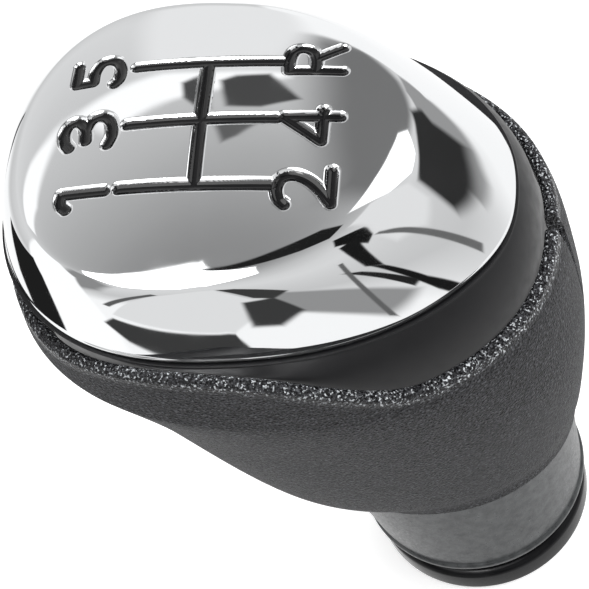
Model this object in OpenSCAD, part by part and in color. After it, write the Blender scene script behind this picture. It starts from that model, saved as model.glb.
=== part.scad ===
// Gear shift knob for a five-speed manual gearbox, with reverse at the rear right.
// Millimetres. X is the car's right, Y the car's forward, Z up along the lever.
// The origin is the centre of the bush's mouth, in the plane of the boot ring's bottom face.

/* [Node] */
// Piece to draw, or all

/* [Lever and socket] */
// Diameter of the lever's plain end that the bush takes
lever_d = 12; // [8:0.5:14]
// Depth of the blind bore, from the mouth of the bush
lever_depth = 46; // [30:1:50]
// How far the socket tube's end lies above the bush's mouth
socket_recess = 0.6; // [0.2:0.1:2]
// Wall of the lever bush
bush_wall = 1.5; // [1:0.1:2.5]
// Wall of the carrier's socket tube
socket_wall = 2; // [1.5:0.1:3]
// Diameter of the retaining clip's wire
clip_wire_d = 1; // [0.6:0.1:1.2]
// Height of the clip above the bush's mouth
clip_rise = 14; // [6:1:30]
// Opening of the split clip in degrees
clip_gap = 50; // [20:5:90]

/* [Boot ring] */
// Outer diameter of the boot ring
ring_d = 30; // [28:0.5:36]
// Height of the boot ring's rounded flange
ring_h = 5; // [4:0.5:8]
// Rounding of the flange's outer edges
ring_round = 1.2; // [0.4:0.1:2]
// Height of the groove that holds the gaiter's collar
groove_h = 3; // [2:0.5:5]
// Wall of the ring's spigot, from the socket tube to the bottom of the gaiter groove
spigot_wall = 1.9; // [1.4:0.1:2.6]
// Length of the ring's spigot inside the sleeve
ring_spigot = 8; // [4:0.5:12]
// Width of the two keys that stop the ring from turning in the sleeve
key_w = 3; // [2:0.5:5]
// How far the keys stand out of the spigot
key_h = 0.8; // [0.4:0.1:1.2]

/* [Neck sleeve] */
// Diameter of the sleeve at its lower lip
sleeve_d = 31; // [29:0.5:37]
// Height of the sleeve's lower lip
sleeve_lip_h = 1; // [0.6:0.1:2]
// How far the lower lip stands proud of the sleeve's face
sleeve_lip = 0.35; // [0.2:0.05:0.8]
// Step between the sleeve's face and the shells' lower edge
sleeve_step = 0.5; // [0.2:0.1:1]
// Length of the sleeve's spigot inside the shells
sleeve_spigot = 5; // [3:0.5:8]

/* [Grip shells] */
// Wall of the textured shells
shell_wall = 1.6; // [1.2:0.1:2.4]
// Height of the shells' lower edge, at the lever axis
neck_z = 26; // [22:0.5:30]
// Fore and aft length of the shells' lower edge
neck_len = 36.6; // [34:0.2:42]
// Width of the shells' lower edge
neck_w = 31.4; // [30:0.2:36]
// How far forward of the lever the lower edge lies
neck_fwd = 1.6; // [0:0.1:4]
// Height of the waist section
waist_z = 34; // [31:0.5:40]
// Fore and aft length of the waist section
waist_len = 46; // [42:0.5:52]
// Width of the waist section
waist_w = 37.8; // [34:0.2:44]
// Forward offset of the waist section
waist_fwd = 4.5; // [2:0.1:7]
// Backward tilt of the lower edge and the waist in degrees
neck_tilt = 1.6; // [0:0.1:5]
// Height of the belly section
belly_z = 57; // [50:0.5:60]
// Fore and aft length of the belly section
belly_len = 57.8; // [52:0.2:62]
// Width of the belly section
belly_w = 47; // [42:0.2:52]
// Forward offset of the belly section
belly_fwd = 7.7; // [5:0.1:10]
// Backward tilt of the belly section in degrees
belly_tilt = 10; // [0:0.5:14]
// How much wider the body is in front than behind, as a fraction
body_egg = 0.02; // [0:0.005:0.06]

/* [Head] */
// Height of the head's widest section
head_z = 68.7; // [64:0.1:76]
// Fore and aft length of the head
head_len = 61.4; // [58:0.2:68]
// Width of the head
head_w = 51.2; // [48:0.2:58]
// Forward offset of the head
head_fwd = 10.4; // [8:0.1:14]
// Backward tilt of the head in degrees
head_tilt = 8.5; // [4:0.5:12]
// How much wider the head is in front than behind, as a fraction
head_egg = 0.045; // [0:0.005:0.1]
// Squareness of the oval sections, where 2 is an ellipse
oval_power = 2.2; // [2:0.05:2.6]

/* [Shell lip] */
// Rise of the lip above the widest section, behind
lip_rise_rear = 1; // [0.5:0.1:4]
// Rise of the lip above the widest section, at the sides
lip_rise_side = 8.7; // [5:0.1:10]
// Rise of the lip above the widest section, in front
lip_rise_front = 3.8; // [2:0.1:9]
// How far the shells draw in on the way up to the lip
lip_draw = 0.3; // [0.1:0.1:1]
// Angle from the rear seam where the lip starts to climb
lip_dip_start = 56; // [20:1:65]
// Angle from the rear seam where the lip is at full height
lip_dip_end = 97; // [75:1:110]
// Angle from the rear seam where the lip starts to fall towards the front
lip_fall_start = 100; // [90:1:120]
// Angle from the rear seam where the lip reaches its front height
lip_fall_end = 150; // [130:1:175]
// Width of the notch at the top of the rear seam
notch_w = 2; // [1:0.1:3]
// Depth of the notch at the top of the rear seam
notch_depth = 3; // [1:0.1:5]
// Diameter of the pegs' bosses inside the seam
peg_boss_d = 4.4; // [3.6:0.2:6]
// Diameter of the pegs that line up the two shells
peg_d = 2; // [1.4:0.1:2.6]
// Length of the pegs
peg_len = 3; // [2:0.5:4]
// Depth of the bosses on each side of the seam
peg_boss_len = 4; // [3.5:0.5:6]

/* [Bezel] */
// Wall of the bezel collar
bezel_wall = 1.6; // [1:0.1:2.2]
// How far the bezel reaches down inside the shells
bezel_skirt = 5; // [3:0.5:8]
// Width of the bezel's edge that shows around the cap
bezel_ledge = 0.5; // [0.2:0.1:1.5]
// Width of the bezel's inner ledge that the cap stands on
bezel_seat = 4.4; // [3.6:0.1:6]
// Width of the bezel's inner ledge that bears on the carrier's plate
bezel_bearing = 1.4; // [0.8:0.1:2]

/* [Cap] */
// Height of the cap's rim at the rim's centre
rim_z = 76.8; // [74:0.1:84]
// How far the cap's rim lies inside the head's widest section, in front and behind
rim_in = 2.85; // [2.6:0.05:4]
// How far the cap's rim lies inside the head's widest section, at the sides
rim_in_side = 3.6; // [2.6:0.05:5]
// Forward offset of the rim
rim_fwd = 11.2; // [9:0.1:14]
// Backward tilt of the rim in degrees
rim_tilt = 9; // [4:0.5:12]
// How much wider the rim is in front than behind, as a fraction
rim_egg = 0.09; // [0:0.005:0.12]
// Height of the dome above the rim
dome_h = 12.1; // [9:0.1:15]
// Drop from the dome's centre to the edge of its flatter top
crown_drop = 2.4; // [0.8:0.1:3]
// Length of the flatter top
crown_len = 41.4; // [34:0.2:44]
// Width of the flatter top
crown_w = 35; // [28:0.5:38]
// How much wider the flatter top is in front than behind, as a fraction
crown_egg = 0.19; // [0:0.01:0.25]
// Forward offset of the flatter top from the rim's centre
crown_fwd = 3.1; // [0:0.1:5]
// Backward tilt of the flatter top in degrees
crown_tilt = 6.7; // [2:0.1:10]
// Even share of the fall from the flatter top to the rim, in front
skirt_even_front = 0.3; // [0:0.01:0.8]
// Even share of the fall from the flatter top to the rim, at the sides
skirt_even_side = 0.08; // [0:0.01:0.8]
// Even share of the fall from the flatter top to the rim, behind
skirt_even_rear = 0.74; // [0:0.01:0.8]
// Fullness of the skirt in front
skirt_full_front = 3.7; // [1.5:0.1:6]
// Fullness of the skirt at the sides
skirt_full_side = 2.5; // [1.5:0.1:6]
// Fullness of the skirt behind
skirt_full_rear = 1.8; // [1.5:0.1:6]
// Wall of the cap
cap_wall = 2; // [1.2:0.1:2.5]
// Height of the straight edge that the cap stands on
cap_edge_h = 0.8; // [0.5:0.1:1.5]
// How far the cap's rolled edge stands out over the bezel
cap_lip = 0.2; // [0.1:0.05:0.4]

/* [Shift gate] */
// Distance between the gate's fore and aft lines
gate_pitch = 8; // [6:0.1:9]
// Length of the gate's fore and aft lines
gate_len = 15.8; // [12:0.1:18]
// Width of the engraved lines
gate_line = 1; // [0.6:0.1:1.5]
// Depth of the engraving at the dome's centre
gate_depth = 0.9; // [0.6:0.1:1.2]
// Thickness of the enamel in the lines
enamel_t = 0.35; // [0.2:0.05:0.5]
// Forward offset of the gate from the rim's centre
gate_fwd = 4.2; // [2:0.1:6]

/* [Carrier] */
// Thickness of the carrier's webs
web_t = 1.8; // [1.2:0.1:3]
// Thickness of the carrier's top plate
plate_t = 2.2; // [1.6:0.1:3]
// Depth of the top plate below the rim
plate_drop = 2.6; // [1.5:0.1:5]
// How far the cap hooks' backs lie inside the rim, at the sides
hook_in = 12; // [9:0.5:14]
// Fore and aft distance between the cap hooks
hook_pitch = 24; // [18:0.5:30]
// Forward offset of the hooks from the rim's centre
hook_fwd = 1; // [0:0.1:4]
// Width of a cap hook
hook_w = 5; // [3:0.5:8]
// Thickness of a cap hook
hook_t = 1.6; // [1:0.1:2.5]
// How far a hook's nose catches under the plate
hook_nose = 0.8; // [0.5:0.1:1.5]

/* [Fits] */
// Clearance between pieces that fit into each other
fit = 0.2; // [0.1:0.05:0.4]

/* [Hidden] */
// Faces of the round pieces
$fn = 96;
// Steps around a whole oval section, an even number of quarters
steps = 48;
// Rows of faces up the shells
rows = 14;
// Rows of faces up the sleeve
sleeve_rows = 8;
// Bevel that breaks the small edges
edge_break = 0.3;
// How far a seam boss runs into the shell's wall
boss_root = 0.6;
// Room between the sleeve's spigot and the foot of the webs
web_room = 2;

bush_d = lever_d + 2 * bush_wall;
bush_top = lever_depth + bush_wall;
socket_bore = bush_d + 2 * fit;
socket_d = socket_bore + 2 * socket_wall;
socket_top = bush_top + fit + socket_wall;
groove_d = socket_d + 2 * (fit + spigot_wall);
rim_len = head_len - 2 * rim_in;
rim_w = head_w - 2 * rim_in_side;
sleeve_z = ring_h + groove_h;
sleeve_bore = groove_d + 2 * fit;
spigot_in = shell_wall + fit;
bezel_in = shell_wall + fit;
web_in = shell_wall + peg_boss_d + 2 * fit;
peg_z = (waist_z + belly_z) / 2;
plate_in = bezel_seat - bezel_bearing;
hook_spread = rim_w - 2 * hook_in;
// Flatter top of the cap, in the rim's frame
crown_lean = crown_tilt - rim_tilt;
// The sections of the outer form: forward offset, height, tilt, half length, half width, egg, power
foot_section = [0, sleeve_z, 0, sleeve_d / 2, sleeve_d / 2, 0, 2];
neck_section = [neck_fwd, neck_z, neck_tilt, neck_len / 2, neck_w / 2, body_egg, oval(1 / 4)];
waist_section = [waist_fwd, waist_z, neck_tilt, waist_len / 2, waist_w / 2, body_egg, oval(1 / 2)];
belly_section = [belly_fwd, belly_z, belly_tilt, belly_len / 2, belly_w / 2, body_egg, oval_power];
head_section = [head_fwd, head_z, head_tilt, head_len / 2, head_w / 2, head_egg, oval_power];
rim_section = [rim_fwd, rim_z, rim_tilt, rim_len / 2, rim_w / 2, rim_egg, oval_power];
form = [foot_section, neck_section, waist_section, belly_section, head_section];

// Squareness of a section that is only partly as square as the head.
function oval(part) = 2 + (oval_power - 2) * part;

// Slope of a smooth curve at an inner station, zero where the curve turns.
function inner_slope(a, b) = a * b <= 0 ? 0 : 2 * a * b / (a + b);

// Slope at an end station, kept from overshooting.
function end_slope(a, b) =
  let (e = (3 * a - b) / 2)
  e * a <= 0 ? 0 : a * b < 0 && abs(e) > 3 * abs(a) ? 3 * a : e;

// Slope of value k of the form at station i. The length and width stop growing at the head.
function slope(i, k) =
  let (last = len(form) - 1)
  i == 0 ? end_slope(form[1][k] - form[0][k], form[2][k] - form[1][k])
  : i == last ? (k == 3 || k == 4 ? 0 : end_slope(form[i][k] - form[i - 1][k], form[i - 1][k] - form[i - 2][k]))
  : inner_slope(form[i][k] - form[i - 1][k], form[i + 1][k] - form[i][k]);

// Value k of the form at station u, where whole numbers are the named sections.
function form_value(u, k) =
  let (i = min(floor(u), len(form) - 2), f = u - i)
  form[i][k] * (1 + 2 * f) * (1 - f) * (1 - f) + slope(i, k) * f * (1 - f) * (1 - f)
  + form[i + 1][k] * f * f * (3 - 2 * f) - slope(i + 1, k) * f * f * (1 - f);

// The whole section at station u.
function section_at(u) = [for (k = [0:6]) form_value(u, k)];

// A point of a section at angle t from the front, moved in by inset and up by lift.
function at(s, t, inset = 0, lift = 0) =
  let (
    c = cos(t),
    n = sin(t),
    y = (s[3] - inset) * sign(c) * pow(abs(c), 2 / s[6]),
    x = abs(n) < 1e-9 ? 0 : (s[4] - inset) * sign(n) * pow(abs(n), 2 / s[6]) * (1 + s[5] * c)
  )
  [x, s[0] + y * cos(s[2]) - lift * sin(s[2]), s[1] + y * sin(s[2]) + lift * cos(s[2])];

// Eases from 0 to 1 between a and b.
function ease(v, a, b) =
  let (f = min(max((v - a) / (b - a), 0), 1))
  f * f * (3 - 2 * f);

// How far the shells have drawn in at the lip at angle t, in step with its rise.
function lip_in(t) = lip_draw * lip_rise(t) / max(lip_rise_side, lip_rise_front, lip_rise_rear);

// Rise of the shells' lip at angle t from the front.
function lip_rise(t) =
  let (w = abs(180 - (t % 360)))
  lip_rise_rear + (lip_rise_side - lip_rise_rear) * ease(w, lip_dip_start, lip_dip_end)
  - (lip_rise_side - lip_rise_front) * ease(w, lip_fall_start, lip_fall_end);

// One ring or half ring of a wall: quads between neighbouring profiles, where each is a closed
// loop of points given as an outer run upward and an inner run of equal length upward.
module wall_sweep(profiles, closed) {
  n = len(profiles);
  m = len(profiles[0]);
  half = m / 2;
  bands = closed ? n : n - 1;
  sides = [
    for (j = [0:bands - 1], i = [0:m - 1])
      let (a = j * m + i, b = j * m + (i + 1) % m, c = ((j + 1) % n) * m + (i + 1) % m, d = ((j + 1) % n) * m + i)
      each [[a, c, b], [a, d, c]]
  ];
  ends = closed ? [] : [
    for (i = [0:half - 2])
      let (a = i, b = i + 1, c = m - 2 - i, d = m - 1 - i, o = (n - 1) * m)
      each [[a, b, c], [a, c, d], [o + a, o + c, o + b], [o + a, o + d, o + c]]
  ];
  polyhedron(points = [for (p = profiles, q = p) q], faces = concat(sides, ends), convexity = 8);
}

// Stations up the shells, from the lower edge to the widest section.
function shell_stations() = [for (i = [0:rows]) 1 + 3 * i / rows];

// The shells' wall at angle t: up the outside, over the rounded lip, and down the inside.
function shell_profile(t) =
  let (
    st = shell_stations(),
    draw = lip_in(t),
    r = shell_wall / 2,
    rise = max(lip_rise(t) - r, 0.1),
    outer = [for (u = st) at(section_at(u), t)],
    inner = [for (u = st) at(section_at(u), t, shell_wall)],
    up = [0.35, 0.7, 1]
  )
  concat(
    outer,
    [for (v = up) at(head_section, t, draw * v, rise * v)],
    [for (a = [30, 60, 88, 92, 120, 150]) at(head_section, t, draw + r - r * cos(a), rise + r * sin(a))],
    [for (i = [2:-1:0]) at(head_section, t, shell_wall + draw * up[i], rise * up[i])],
    [for (i = [rows:-1:0]) inner[i]]
  );

// A solid between stacked rings of points, closed by fans at both ends.
module stack(rings) {
  n = len(rings);
  m = len(rings[0]);
  sides = [
    for (j = [0:n - 2], i = [0:m - 1])
      let (a = j * m + i, b = j * m + (i + 1) % m, c = a + m, d = b + m)
      each [[a, b, d], [a, d, c]]
  ];
  ends = [for (i = [1:m - 2]) each [[0, i + 1, i], [(n - 1) * m, (n - 1) * m + i, (n - 1) * m + i + 1]]];
  polyhedron(points = [for (r = rings, p = r) p], faces = concat(sides, ends), convexity = 6);
}

// A whole oval ring of points, turning from the front to the right.
function ring_of(s, inset = 0, lift = 0) = [for (i = [0:steps - 1]) at(s, i * 360 / steps, inset, lift)];

// Places children in the frame of the cap's rim.
module in_rim() {
  translate([0, rim_fwd, rim_z])
    rotate([rim_tilt, 0, 0])
      children();
}

// Places children on the centre of the cap's flatter top, square to it.
module on_crown() {
  in_rim()
    translate([0, crown_fwd, dome_h])
      rotate([crown_lean, 0, 0])
        children();
}

// Half of a shell wall with its seam bosses. The right half carries the pegs.
module shell_half(side) {
  from = side > 0 ? 0 : 180;
  difference() {
    union() {
      wall_sweep([for (i = [0:steps / 2]) shell_profile(from + i * 360 / steps)], false);
      for (t = [0, 180])
        seam_boss(t, side);
    }
    translate(at(head_section, 180, shell_wall / 2, lip_rise_rear - notch_depth / 2 + 0.5))
      cube([notch_w, shell_wall * 3, notch_depth + 1], center = true);
    if (side < 0)
      for (t = [0, 180])
        translate(peg_place(t))
          rotate([0, -90, 0])
            cylinder(d = peg_d + fit, h = peg_len + fit);
  }
  if (side > 0)
    for (t = [0, 180])
      translate(peg_place(t))
        rotate([0, -90, 0])
          cylinder(d = peg_d, h = peg_len);
}

// Station of the form at about height z, between the lower edge and the belly.
function station_of(z) =
  z < waist_z ? 1 + (z - neck_z) / (waist_z - neck_z) : 2 + (z - waist_z) / (belly_z - waist_z);

// Centre of a seam peg, against the inside of the shells in front or behind.
function peg_place(t) =
  at(section_at(station_of(peg_z)), t, shell_wall + peg_boss_d / 2 - boss_root);

// Boss around a seam peg, running into the shell's wall.
module seam_boss(t, side) {
  translate(peg_place(t))
    rotate([0, side * 90, 0])
      cylinder(d = peg_boss_d, h = peg_boss_len);
}

// A point inside the shells' wall at angle t: straight up above the widest section, along the form below it.
function wall_point(t, inset, lift) =
  lift >= 0 ? at(head_section, t, inset, lift)
  : at(section_at(4 + 2 * lift / (slope(4, 1) + head_z - belly_z)), t, inset);

// Profile of the bezel at angle t: a collar inside the shells that turns in under the cap.
function bezel_profile(t) =
  let (
    rise = lip_rise(t),
    wrap = bezel_in + lip_in(t),
    low = rise - bezel_skirt,
    turn = rise - shell_wall / 2,
    foot = at(head_section, t, wrap, turn),
    foot_in = at(head_section, t, wrap + bezel_wall, turn - plate_drop + cap_edge_h),
    brow = at(rim_section, t, -bezel_ledge, -cap_edge_h),
    brow_in = at(rim_section, t, bezel_wall - bezel_ledge, -plate_drop)
  )
  concat(
    [wall_point(t, wrap, low)],
    [for (v = [0, 0.3, 0.55, 0.8, 1]) bulge(foot, brow, v)],
    [at(rim_section, t, bezel_seat, -cap_edge_h), at(rim_section, t, bezel_seat, -plate_drop)],
    [for (v = [1, 0.8, 0.55, 0.3, 0]) bulge(foot_in, brow_in, v)],
    [wall_point(t, wrap + bezel_wall, low)]
  );

// Point v of the way from a to b along a curve that first rises and then turns in.
function bulge(a, b, v) =
  let (c = [a[0], a[1], a[2] + 0.6 * (b[2] - a[2])])
  a * (1 - v) * (1 - v) + c * 2 * v * (1 - v) + b * v * v;

// A value at angle t that changes smoothly from the front over the side to the rear.
function around(t, front, side, rear) =
  let (w = t > 180 ? 360 - t : t)
  front + (side - front) * ease(w, 20, 90) + (rear - side) * ease(w, 90, 160);

// A point of the cap in the rim's frame: q runs from the crown's centre over its edge at 1 to the rim at 2.
function cap_local(q, t, wall) =
  let (
    c = cos(t),
    n = sin(t),
    e = 2 / oval_power,
    ky = (crown_len / 2 - wall / 2) * sign(c) * pow(abs(c), e),
    kx = abs(n) < 1e-9 ? 0 : (crown_w / 2 - wall / 2) * sign(n) * pow(abs(n), e) * (1 + crown_egg * c),
    ry = (rim_len / 2 - wall) * sign(c) * pow(abs(c), e),
    rx = abs(n) < 1e-9 ? 0 : (rim_w / 2 - wall) * sign(n) * pow(abs(n), e) * (1 + rim_egg * c),
    g = min(q, 1),
    v = max(q - 1, 0),
    even = around(t, skirt_even_front, skirt_even_side, skirt_even_rear),
    fall = even * v + (1 - even) * pow(v, around(t, skirt_full_front, skirt_full_side, skirt_full_rear)),
    edge = dome_h - wall - crown_drop + ky * tan(crown_lean)
  )
  [
    kx * g + (rx - kx) * v,
    crown_fwd + ky * g + (ry - crown_fwd - ky) * v,
    q <= 1 ? dome_h - wall - crown_drop * g * g + ky * g * tan(crown_lean) : edge * (1 - fall)
  ];

// The cap's dome as a thin wall, in the rim's frame.
module cap_wall_solid() {
  outer_q = [2, 1.97, 1.9, 1.8, 1.65, 1.45, 1.22, 1, 0.67, 0.34];
  inner_q = [2, 1.93, 1.75, 1.45, 1, 0.5];
  outer = concat(
    [cap_edge(-cap_lip, -cap_edge_h), cap_edge(-cap_lip, -cap_edge_h / 2), cap_edge(0, -cap_edge_h / 4)],
    [for (q = outer_q) cap_ring(q, 0)]
  );
  inner = concat([cap_edge(cap_wall, -cap_edge_h)], [for (q = inner_q) cap_ring(q, cap_wall)]);
  bowl(outer, [0, crown_fwd, dome_h], inner, [0, crown_fwd, dome_h - cap_wall]);
}

function cap_ring(q, wall) = [for (i = [0:steps - 1]) cap_local(q, i * 360 / steps, wall)];
function cap_edge(inset, z) = ring_of([0, 0, 0, rim_len / 2, rim_w / 2, rim_egg, oval_power], inset, z);

// A thin dome between an outer and an inner set of rings, each from its edge up to a top point.
module bowl(outer, outer_top, inner, inner_top) {
  m = len(outer[0]);
  no = len(outer);
  ni = len(inner);
  o = no * m + 1;
  faces = concat(
    [for (j = [0:no - 2], i = [0:m - 1]) each quad(j * m, m, i)],
    [for (i = [0:m - 1]) [(no - 1) * m + i, (no - 1) * m + (i + 1) % m, no * m]],
    [for (j = [0:ni - 2], i = [0:m - 1]) each back(quad(o + j * m, m, i))],
    [for (i = [0:m - 1]) [o + (ni - 1) * m + i, o + ni * m, o + (ni - 1) * m + (i + 1) % m]],
    [for (i = [0:m - 1]) each [[i, o + i, (i + 1) % m], [(i + 1) % m, o + i, o + (i + 1) % m]]]
  );
  polyhedron(
    points = concat([for (r = outer, p = r) p], [outer_top], [for (r = inner, p = r) p], [inner_top]),
    faces = faces,
    convexity = 6
  );
}

// The two triangles between step i of a ring that starts at point a and the next ring.
function quad(a, m, i) =
  let (b = a + (i + 1) % m)
  [[a + i, b, b + m], [a + i, b + m, a + i + m]];
function back(tris) = [for (f = tris) [f[0], f[2], f[1]]];

// Outline of the shift gate: three lines fore and aft and the neutral line across them.
module gate_outline(w) {
  for (x = [-gate_pitch, 0, gate_pitch])
    slot_line([x, gate_fwd - crown_fwd - gate_len / 2], [x, gate_fwd - crown_fwd + gate_len / 2], w);
  slot_line([-gate_pitch, gate_fwd - crown_fwd], [gate_pitch, gate_fwd - crown_fwd], w);
}

// A straight line with round ends.
module slot_line(a, b, w) {
  d = b - a;
  translate(a)
    rotate(atan2(d[1], d[0]))
      translate([0, -w / 2])
        square([norm(d), w]);
  for (p = [a, b])
    translate(p)
      circle(d = w);
}

// One hook below the cap, with its nose pointing away from the middle.
module cap_hook() {
  reach = dome_h - cap_wall / 2 - crown_drop;
  under = -plate_drop - plate_t - fit;
  rotate([90, 0, 0])
    linear_extrude(hook_w, center = true)
      polygon([
        [0, reach],
        [0, under - hook_t],
        [hook_t * 0.6, under - hook_t],
        [hook_t + hook_nose, under],
        [hook_t, under],
        [hook_t, reach]
      ]);
}

// Places children at the four hooks, in the rim's frame.
module at_hooks() {
  for (side = [-1, 1], fore = [-1, 1])
    translate([side * hook_spread / 2, hook_fwd + fore * hook_pitch / 2, 0])
      mirror([side < 0 ? 1 : 0, 0, 0])
        children();
}

// Plated cap with the gate cut into its crown and four snap hooks below.
module chrome_cap() {
  color([0.85, 0.86, 0.88]) {
    difference() {
      in_rim()
        cap_wall_solid();
      on_crown()
        translate([0, 0, -gate_depth])
          linear_extrude(gate_depth + 2)
            gate_outline(gate_line);
    }
    in_rim()
      at_hooks()
        cap_hook();
  }
}

// Black enamel lying in the engraved gate.
module gate_enamel() {
  color([0.04, 0.04, 0.05])
    on_crown()
      translate([0, 0, -gate_depth])
        linear_extrude(enamel_t)
          gate_outline(gate_line - fit / 2);
}

// Satin collar between the shells' lip and the cap.
module bezel_ring() {
  color([0.12, 0.12, 0.13])
    wall_sweep([for (i = [0:steps - 1]) bezel_profile(i * 360 / steps)], true);
}

module grip_shell_right() {
  color([0.27, 0.27, 0.29])
    shell_half(1);
}

module grip_shell_left() {
  color([0.3, 0.3, 0.32])
    shell_half(-1);
}

// Smooth sleeve below the shells, with a spigot inside them and keyways for the boot ring.
module neck_sleeve() {
  foot = foot_section;
  face = [for (i = [0:sleeve_rows]) let (u = i / sleeve_rows) [section_at(u), u]];
  skip = sleeve_lip_h + 0.5;
  color([0.33, 0.34, 0.36])
    difference() {
      stack(concat(
        [ring_of(foot, edge_break, 0), ring_of(foot, 0, edge_break), ring_of(foot, 0, sleeve_lip_h - 0.2)],
        [for (f = face) if (f[0][1] > sleeve_z + skip) ring_of(f[0], sleeve_lip * (1 - f[1]) + sleeve_step * f[1])],
        [ring_of(neck_section, spigot_in), ring_of(neck_section, spigot_in, sleeve_spigot)]
      ));
      translate([0, 0, sleeve_z - 1])
        cylinder(d = sleeve_bore, h = neck_z - sleeve_z + 2 * sleeve_spigot + 2);
      for (a = [0, 180])
        rotate(a)
          translate([0, -key_w / 2 - fit / 2, sleeve_z - 1])
            cube([groove_d / 2 + key_h + fit, key_w + fit, ring_spigot + 1 + fit]);
    }
}

// Bottom ring: a rounded flange, the gaiter groove above it and a keyed spigot for the sleeve.
module boot_ring() {
  r = ring_d / 2;
  bore = socket_d / 2 + fit;
  top = sleeve_z + ring_spigot;
  color([0.05, 0.05, 0.06]) {
    rotate_extrude()
      polygon(concat(
        [[bore + edge_break, 0]],
        [for (a = [-90:15:0]) [r - ring_round + ring_round * cos(a), ring_round + ring_round * sin(a)]],
        [for (a = [0:15:90]) [r - ring_round + ring_round * cos(a), ring_h - ring_round + ring_round * sin(a)]],
        [[groove_d / 2, ring_h], [groove_d / 2, top - edge_break], [groove_d / 2 - edge_break, top]],
        [[bore, top], [bore, edge_break]]
      ));
    for (a = [0, 180])
      rotate(a)
        translate([groove_d / 2 - 0.5, -key_w / 2, sleeve_z])
          cube([key_h + 0.5, key_w, ring_spigot]);
  }
}

// Levels of the webs: from above the sleeve's spigot to the shells' widest section.
function web_stations() =
  let (foot = station_of(neck_z + sleeve_spigot + web_room))
  [for (i = [0:6]) foot + (4 - foot) * i / 6];

// Outline of the fore and aft web, as points of Y and Z.
function web_outline() =
  let (st = web_stations(), top = -plate_drop - plate_t / 2)
  concat(
    [for (u = st) let (p = at(section_at(u), 180, web_in)) [p[1], p[2]]],
    [for (t = [180, 0]) let (p = at(rim_section, t, web_in, top)) [p[1], p[2]]],
    [for (i = [len(st) - 1:-1:0]) let (p = at(section_at(st[i]), 0, web_in)) [p[1], p[2]]]
  );

// Row of the cross web: four corners level with the section's sides.
function cross_row(s, lift) =
  let (p = at(s, 90, web_in, lift))
  [for (c = [[-1, -1], [-1, 1], [1, 1], [1, -1]]) [c[0] * p[0], p[1] + c[1] * web_t / 2, p[2]]];

// Carrier moulding: the socket for the bush, two crossed webs and the plate that the cap hooks into.
module carrier() {
  color([0.2, 0.2, 0.21])
    difference() {
      union() {
        translate([0, 0, socket_recess])
          cylinder(d = socket_d, h = socket_top - socket_recess);
        rotate([90, 0, 90])
          linear_extrude(web_t, center = true)
            polygon(web_outline());
        stack(concat(
          [for (u = web_stations()) cross_row(section_at(u), 0)],
          [cross_row(rim_section, -plate_drop - plate_t / 2)]
        ));
        in_rim()
          translate([0, 0, -plate_drop - plate_t])
            linear_extrude(plate_t)
              difference() {
                polygon([for (p = cap_edge(plate_in, 0)) [p[0], p[1]]]);
                at_hooks()
                  translate([-fit, -hook_w / 2 - fit])
                    square([hook_t + hook_nose + 2 * fit, hook_w + 2 * fit]);
              }
      }
      translate([0, 0, socket_recess - 1])
        cylinder(d = socket_bore, h = bush_top + fit - socket_recess + 1);
      clip_groove(socket_bore / 2 - 1, clip_r + clip_wire_d / 2 + fit / 2);
    }
}

// Middle radius of the clip's wire, half in the bush and half in the socket.
clip_r = (bush_d + fit) / 2;
clip_z = clip_rise;

// Annular groove for the clip between two radii.
module clip_groove(r1, r2) {
  h = clip_wire_d + fit;
  translate([0, 0, clip_z - h / 2])
    rotate_extrude()
      translate([r1, 0])
        square([r2 - r1, h]);
}

// Closed bush that the lever's end pushes into.
module lever_bush() {
  color([0.75, 0.62, 0.35])
    difference() {
      cylinder(d = bush_d, h = bush_top);
      translate([0, 0, -1])
        cylinder(d = lever_d, h = lever_depth + 1);
      clip_groove(clip_r - clip_wire_d / 2 - fit / 2, bush_d / 2 + 1);
    }
}

// Split ring of spring wire that locks the bush in its socket.
module bush_clip() {
  color([0.6, 0.6, 0.62])
    translate([0, 0, clip_z])
      rotate(90 + clip_gap / 2)
        rotate_extrude(angle = 360 - clip_gap)
          translate([clip_r, 0])
            circle(d = clip_wire_d);
}

chrome_cap();
gate_enamel();
bezel_ring();
grip_shell_right();
grip_shell_left();
neck_sleeve();
boot_ring();
carrier();
lever_bush();
bush_clip();
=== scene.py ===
"""Looks of a gear shift knob: a plated cap with an engraved gate on a grained grip."""

import logging
import math
from dataclasses import dataclass
from enum import Enum

import bpy
import numpy as np
from mathutils import Matrix, Vector

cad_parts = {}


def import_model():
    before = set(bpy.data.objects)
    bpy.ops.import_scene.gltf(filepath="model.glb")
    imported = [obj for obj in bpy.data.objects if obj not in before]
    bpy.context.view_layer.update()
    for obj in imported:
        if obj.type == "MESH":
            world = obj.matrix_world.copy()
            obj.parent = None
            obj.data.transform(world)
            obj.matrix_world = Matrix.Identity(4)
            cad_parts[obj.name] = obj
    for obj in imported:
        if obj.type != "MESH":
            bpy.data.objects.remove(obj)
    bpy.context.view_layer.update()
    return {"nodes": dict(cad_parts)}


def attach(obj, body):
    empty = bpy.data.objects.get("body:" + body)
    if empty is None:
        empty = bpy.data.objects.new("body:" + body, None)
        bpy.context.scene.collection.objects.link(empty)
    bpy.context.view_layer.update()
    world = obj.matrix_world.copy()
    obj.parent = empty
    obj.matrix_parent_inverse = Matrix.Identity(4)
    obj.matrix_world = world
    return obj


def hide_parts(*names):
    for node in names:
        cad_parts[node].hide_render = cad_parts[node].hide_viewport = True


Piece = bpy.types.Object
Material = bpy.types.Material
Socket = bpy.types.NodeSocket

LOG = logging.getLogger("shift_knob")
MM = 0.001
BODY = "root"
WHITE = (1.0, 1.0, 1.0, 1.0)
FAR = 1e9


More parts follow.
